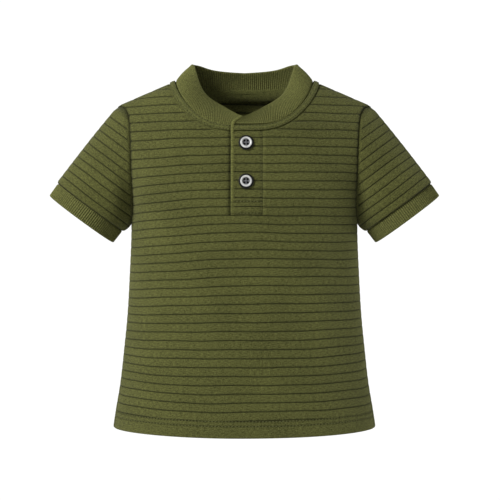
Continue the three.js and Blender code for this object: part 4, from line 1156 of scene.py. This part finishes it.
def stitch_row(bm, line):
    """Small rounded stitches along a line of points in mm, half sunk in the cloth."""
    line = soften(line)
    spots = np.arange(STITCH_PITCH / 2, length_along(line)[-1] - STITCH_PITCH / 3, STITCH_PITCH)
    for p, q in zip(points_along(line, spots), points_along(line, spots + 0.3)):
        turn = Vector(q - p).to_track_quat("X", "Z").to_matrix().to_4x4()
        size = Matrix.Diagonal((STITCH_LENGTH / 2 * MM, STITCH_THICK / 2 * MM, STITCH_THICK / 2 * MM, 1))
        bmesh.ops.create_uvsphere(bm, u_segments=6, v_segments=4, radius=1,
                                  matrix=Matrix.Translation(Vector(p * MM)) @ turn @ size)


def stitching(name, lines):
    bm = bmesh.new()
    for line in lines:
        stitch_row(bm, line)
    return finish_piece(name, bm, COTTON)


def round_the_body(level, lift, face):
    """A line at one level from side seam to side seam, on the front or the back."""
    points, _ = panel_rows(np.array([float(level)]), face, (0, 0))
    return lifted(points[0], lift)


hem_lines = [round_the_body(HEM_Z + s, HEM_LIFT - 0.25, face) for s in HEM_STITCHES for face in (FRONT, BACK)]
hem_thread = stitching("hem_stitching", hem_lines)

turns, _, level = binding_stations(2)
binding_lines = [neck_point(turns, s, level + BINDING_THICK * 0.8) for s in BINDING_STITCHES]
binding_thread = stitching("binding_stitching", binding_lines)

down = np.linspace(-49, BOX_STITCHES_Z[1], 40)
box_side = np.linspace(*BOX_STITCHES_Z, 12)
free_x, sewn_x = PLACKET_FREE_X + STITCH_INSET, PLACKET_SEWN_X - STITCH_INSET
across = np.linspace(free_x, sewn_x, 12)
placket_lines = [lifted(front_point(sewn_x, down), 0.85), lifted(front_point(free_x, box_side), 1.0)]
placket_lines += [lifted(front_point(across, z), 0.85) for z in BOX_STITCHES_Z]
placket_thread = stitching("placket_stitching", placket_lines)

shoulder_line = lifted(onto_body(SHOULDER_LINE[2:44] - np.array([0, 6.0, 0])), 0.75)
shoulder_lines = [shoulder_line * np.array([side, 1, 1]) for side in (1, -1)]
shoulder_thread = stitching("shoulder_stitching", shoulder_lines)

# The photograph. A bright white studio with a pale floor well below the shirt, a soft key light from the upper
# left, a weaker one low on the right, one behind, and a level camera in front.
FLOOR_Z = -0.85
FLOOR_REACH = 2.6
scene = bpy.context.scene
scene.view_settings.view_transform = "Standard"
world = bpy.data.worlds.new("Studio")
scene.world = world
world.use_nodes = True
tree = world.node_tree
room = tree.nodes["Background"]
room.inputs["Color"].default_value = (1, 1, 1, 1)
room.inputs["Strength"].default_value = 0.3
backdrop = tree.nodes.new("ShaderNodeBackground")
backdrop.inputs["Color"].default_value = (1, 1, 1, 1)
backdrop.inputs["Strength"].default_value = 1.05
seen = tree.nodes.new("ShaderNodeLightPath")
either = tree.nodes.new("ShaderNodeMixShader")
tree.links.new(seen.outputs["Is Camera Ray"], either.inputs["Fac"])
tree.links.new(room.outputs["Background"], either.inputs[1])
tree.links.new(backdrop.outputs["Background"], either.inputs[2])
tree.links.new(either.outputs["Shader"], tree.nodes["World Output"].inputs["Surface"])

bm = bmesh.new()
bmesh.ops.create_grid(bm, x_segments=1, y_segments=1, size=FLOOR_REACH)
floor_mesh = bpy.data.meshes.new("floor")
bm.to_mesh(floor_mesh)
bm.free()
floor = bpy.data.objects.new("floor", floor_mesh)
floor.location = (0, 0, FLOOR_Z)
scene.collection.objects.link(floor)
floor_mesh.materials.append(plain_material("Pale floor", (0.78, 0.78, 0.78), 0.9))


def soft_light(name, place, size, power, towards=(0, 0, -0.15)):
    lamp = bpy.data.lights.new(name, "AREA")
    lamp.shape = "DISK"
    lamp.size = size
    lamp.energy = power
    light = bpy.data.objects.new(name, lamp)
    light.location = place
    light.rotation_euler = (Vector(towards) - Vector(place)).to_track_quat("-Z", "Y").to_euler()
    scene.collection.objects.link(light)


soft_light("key", (-1.65, -1.4, 1.1), 1.0, 71)
soft_light("rim", (1.6, 0.15, -0.25), 0.9, 15)
soft_light("back", (-0.6, 1.9, 0.9), 1.0, 14)

camera_data = bpy.data.cameras.new("camera")
camera_data.lens = 104
camera_data.sensor_width = 36
camera = bpy.data.objects.new("camera", camera_data)
camera.location = (0.005, -1.3, -0.1512)
camera.rotation_euler = (np.pi / 2, 0, 0)
scene.collection.objects.link(camera)
scene.camera = camera
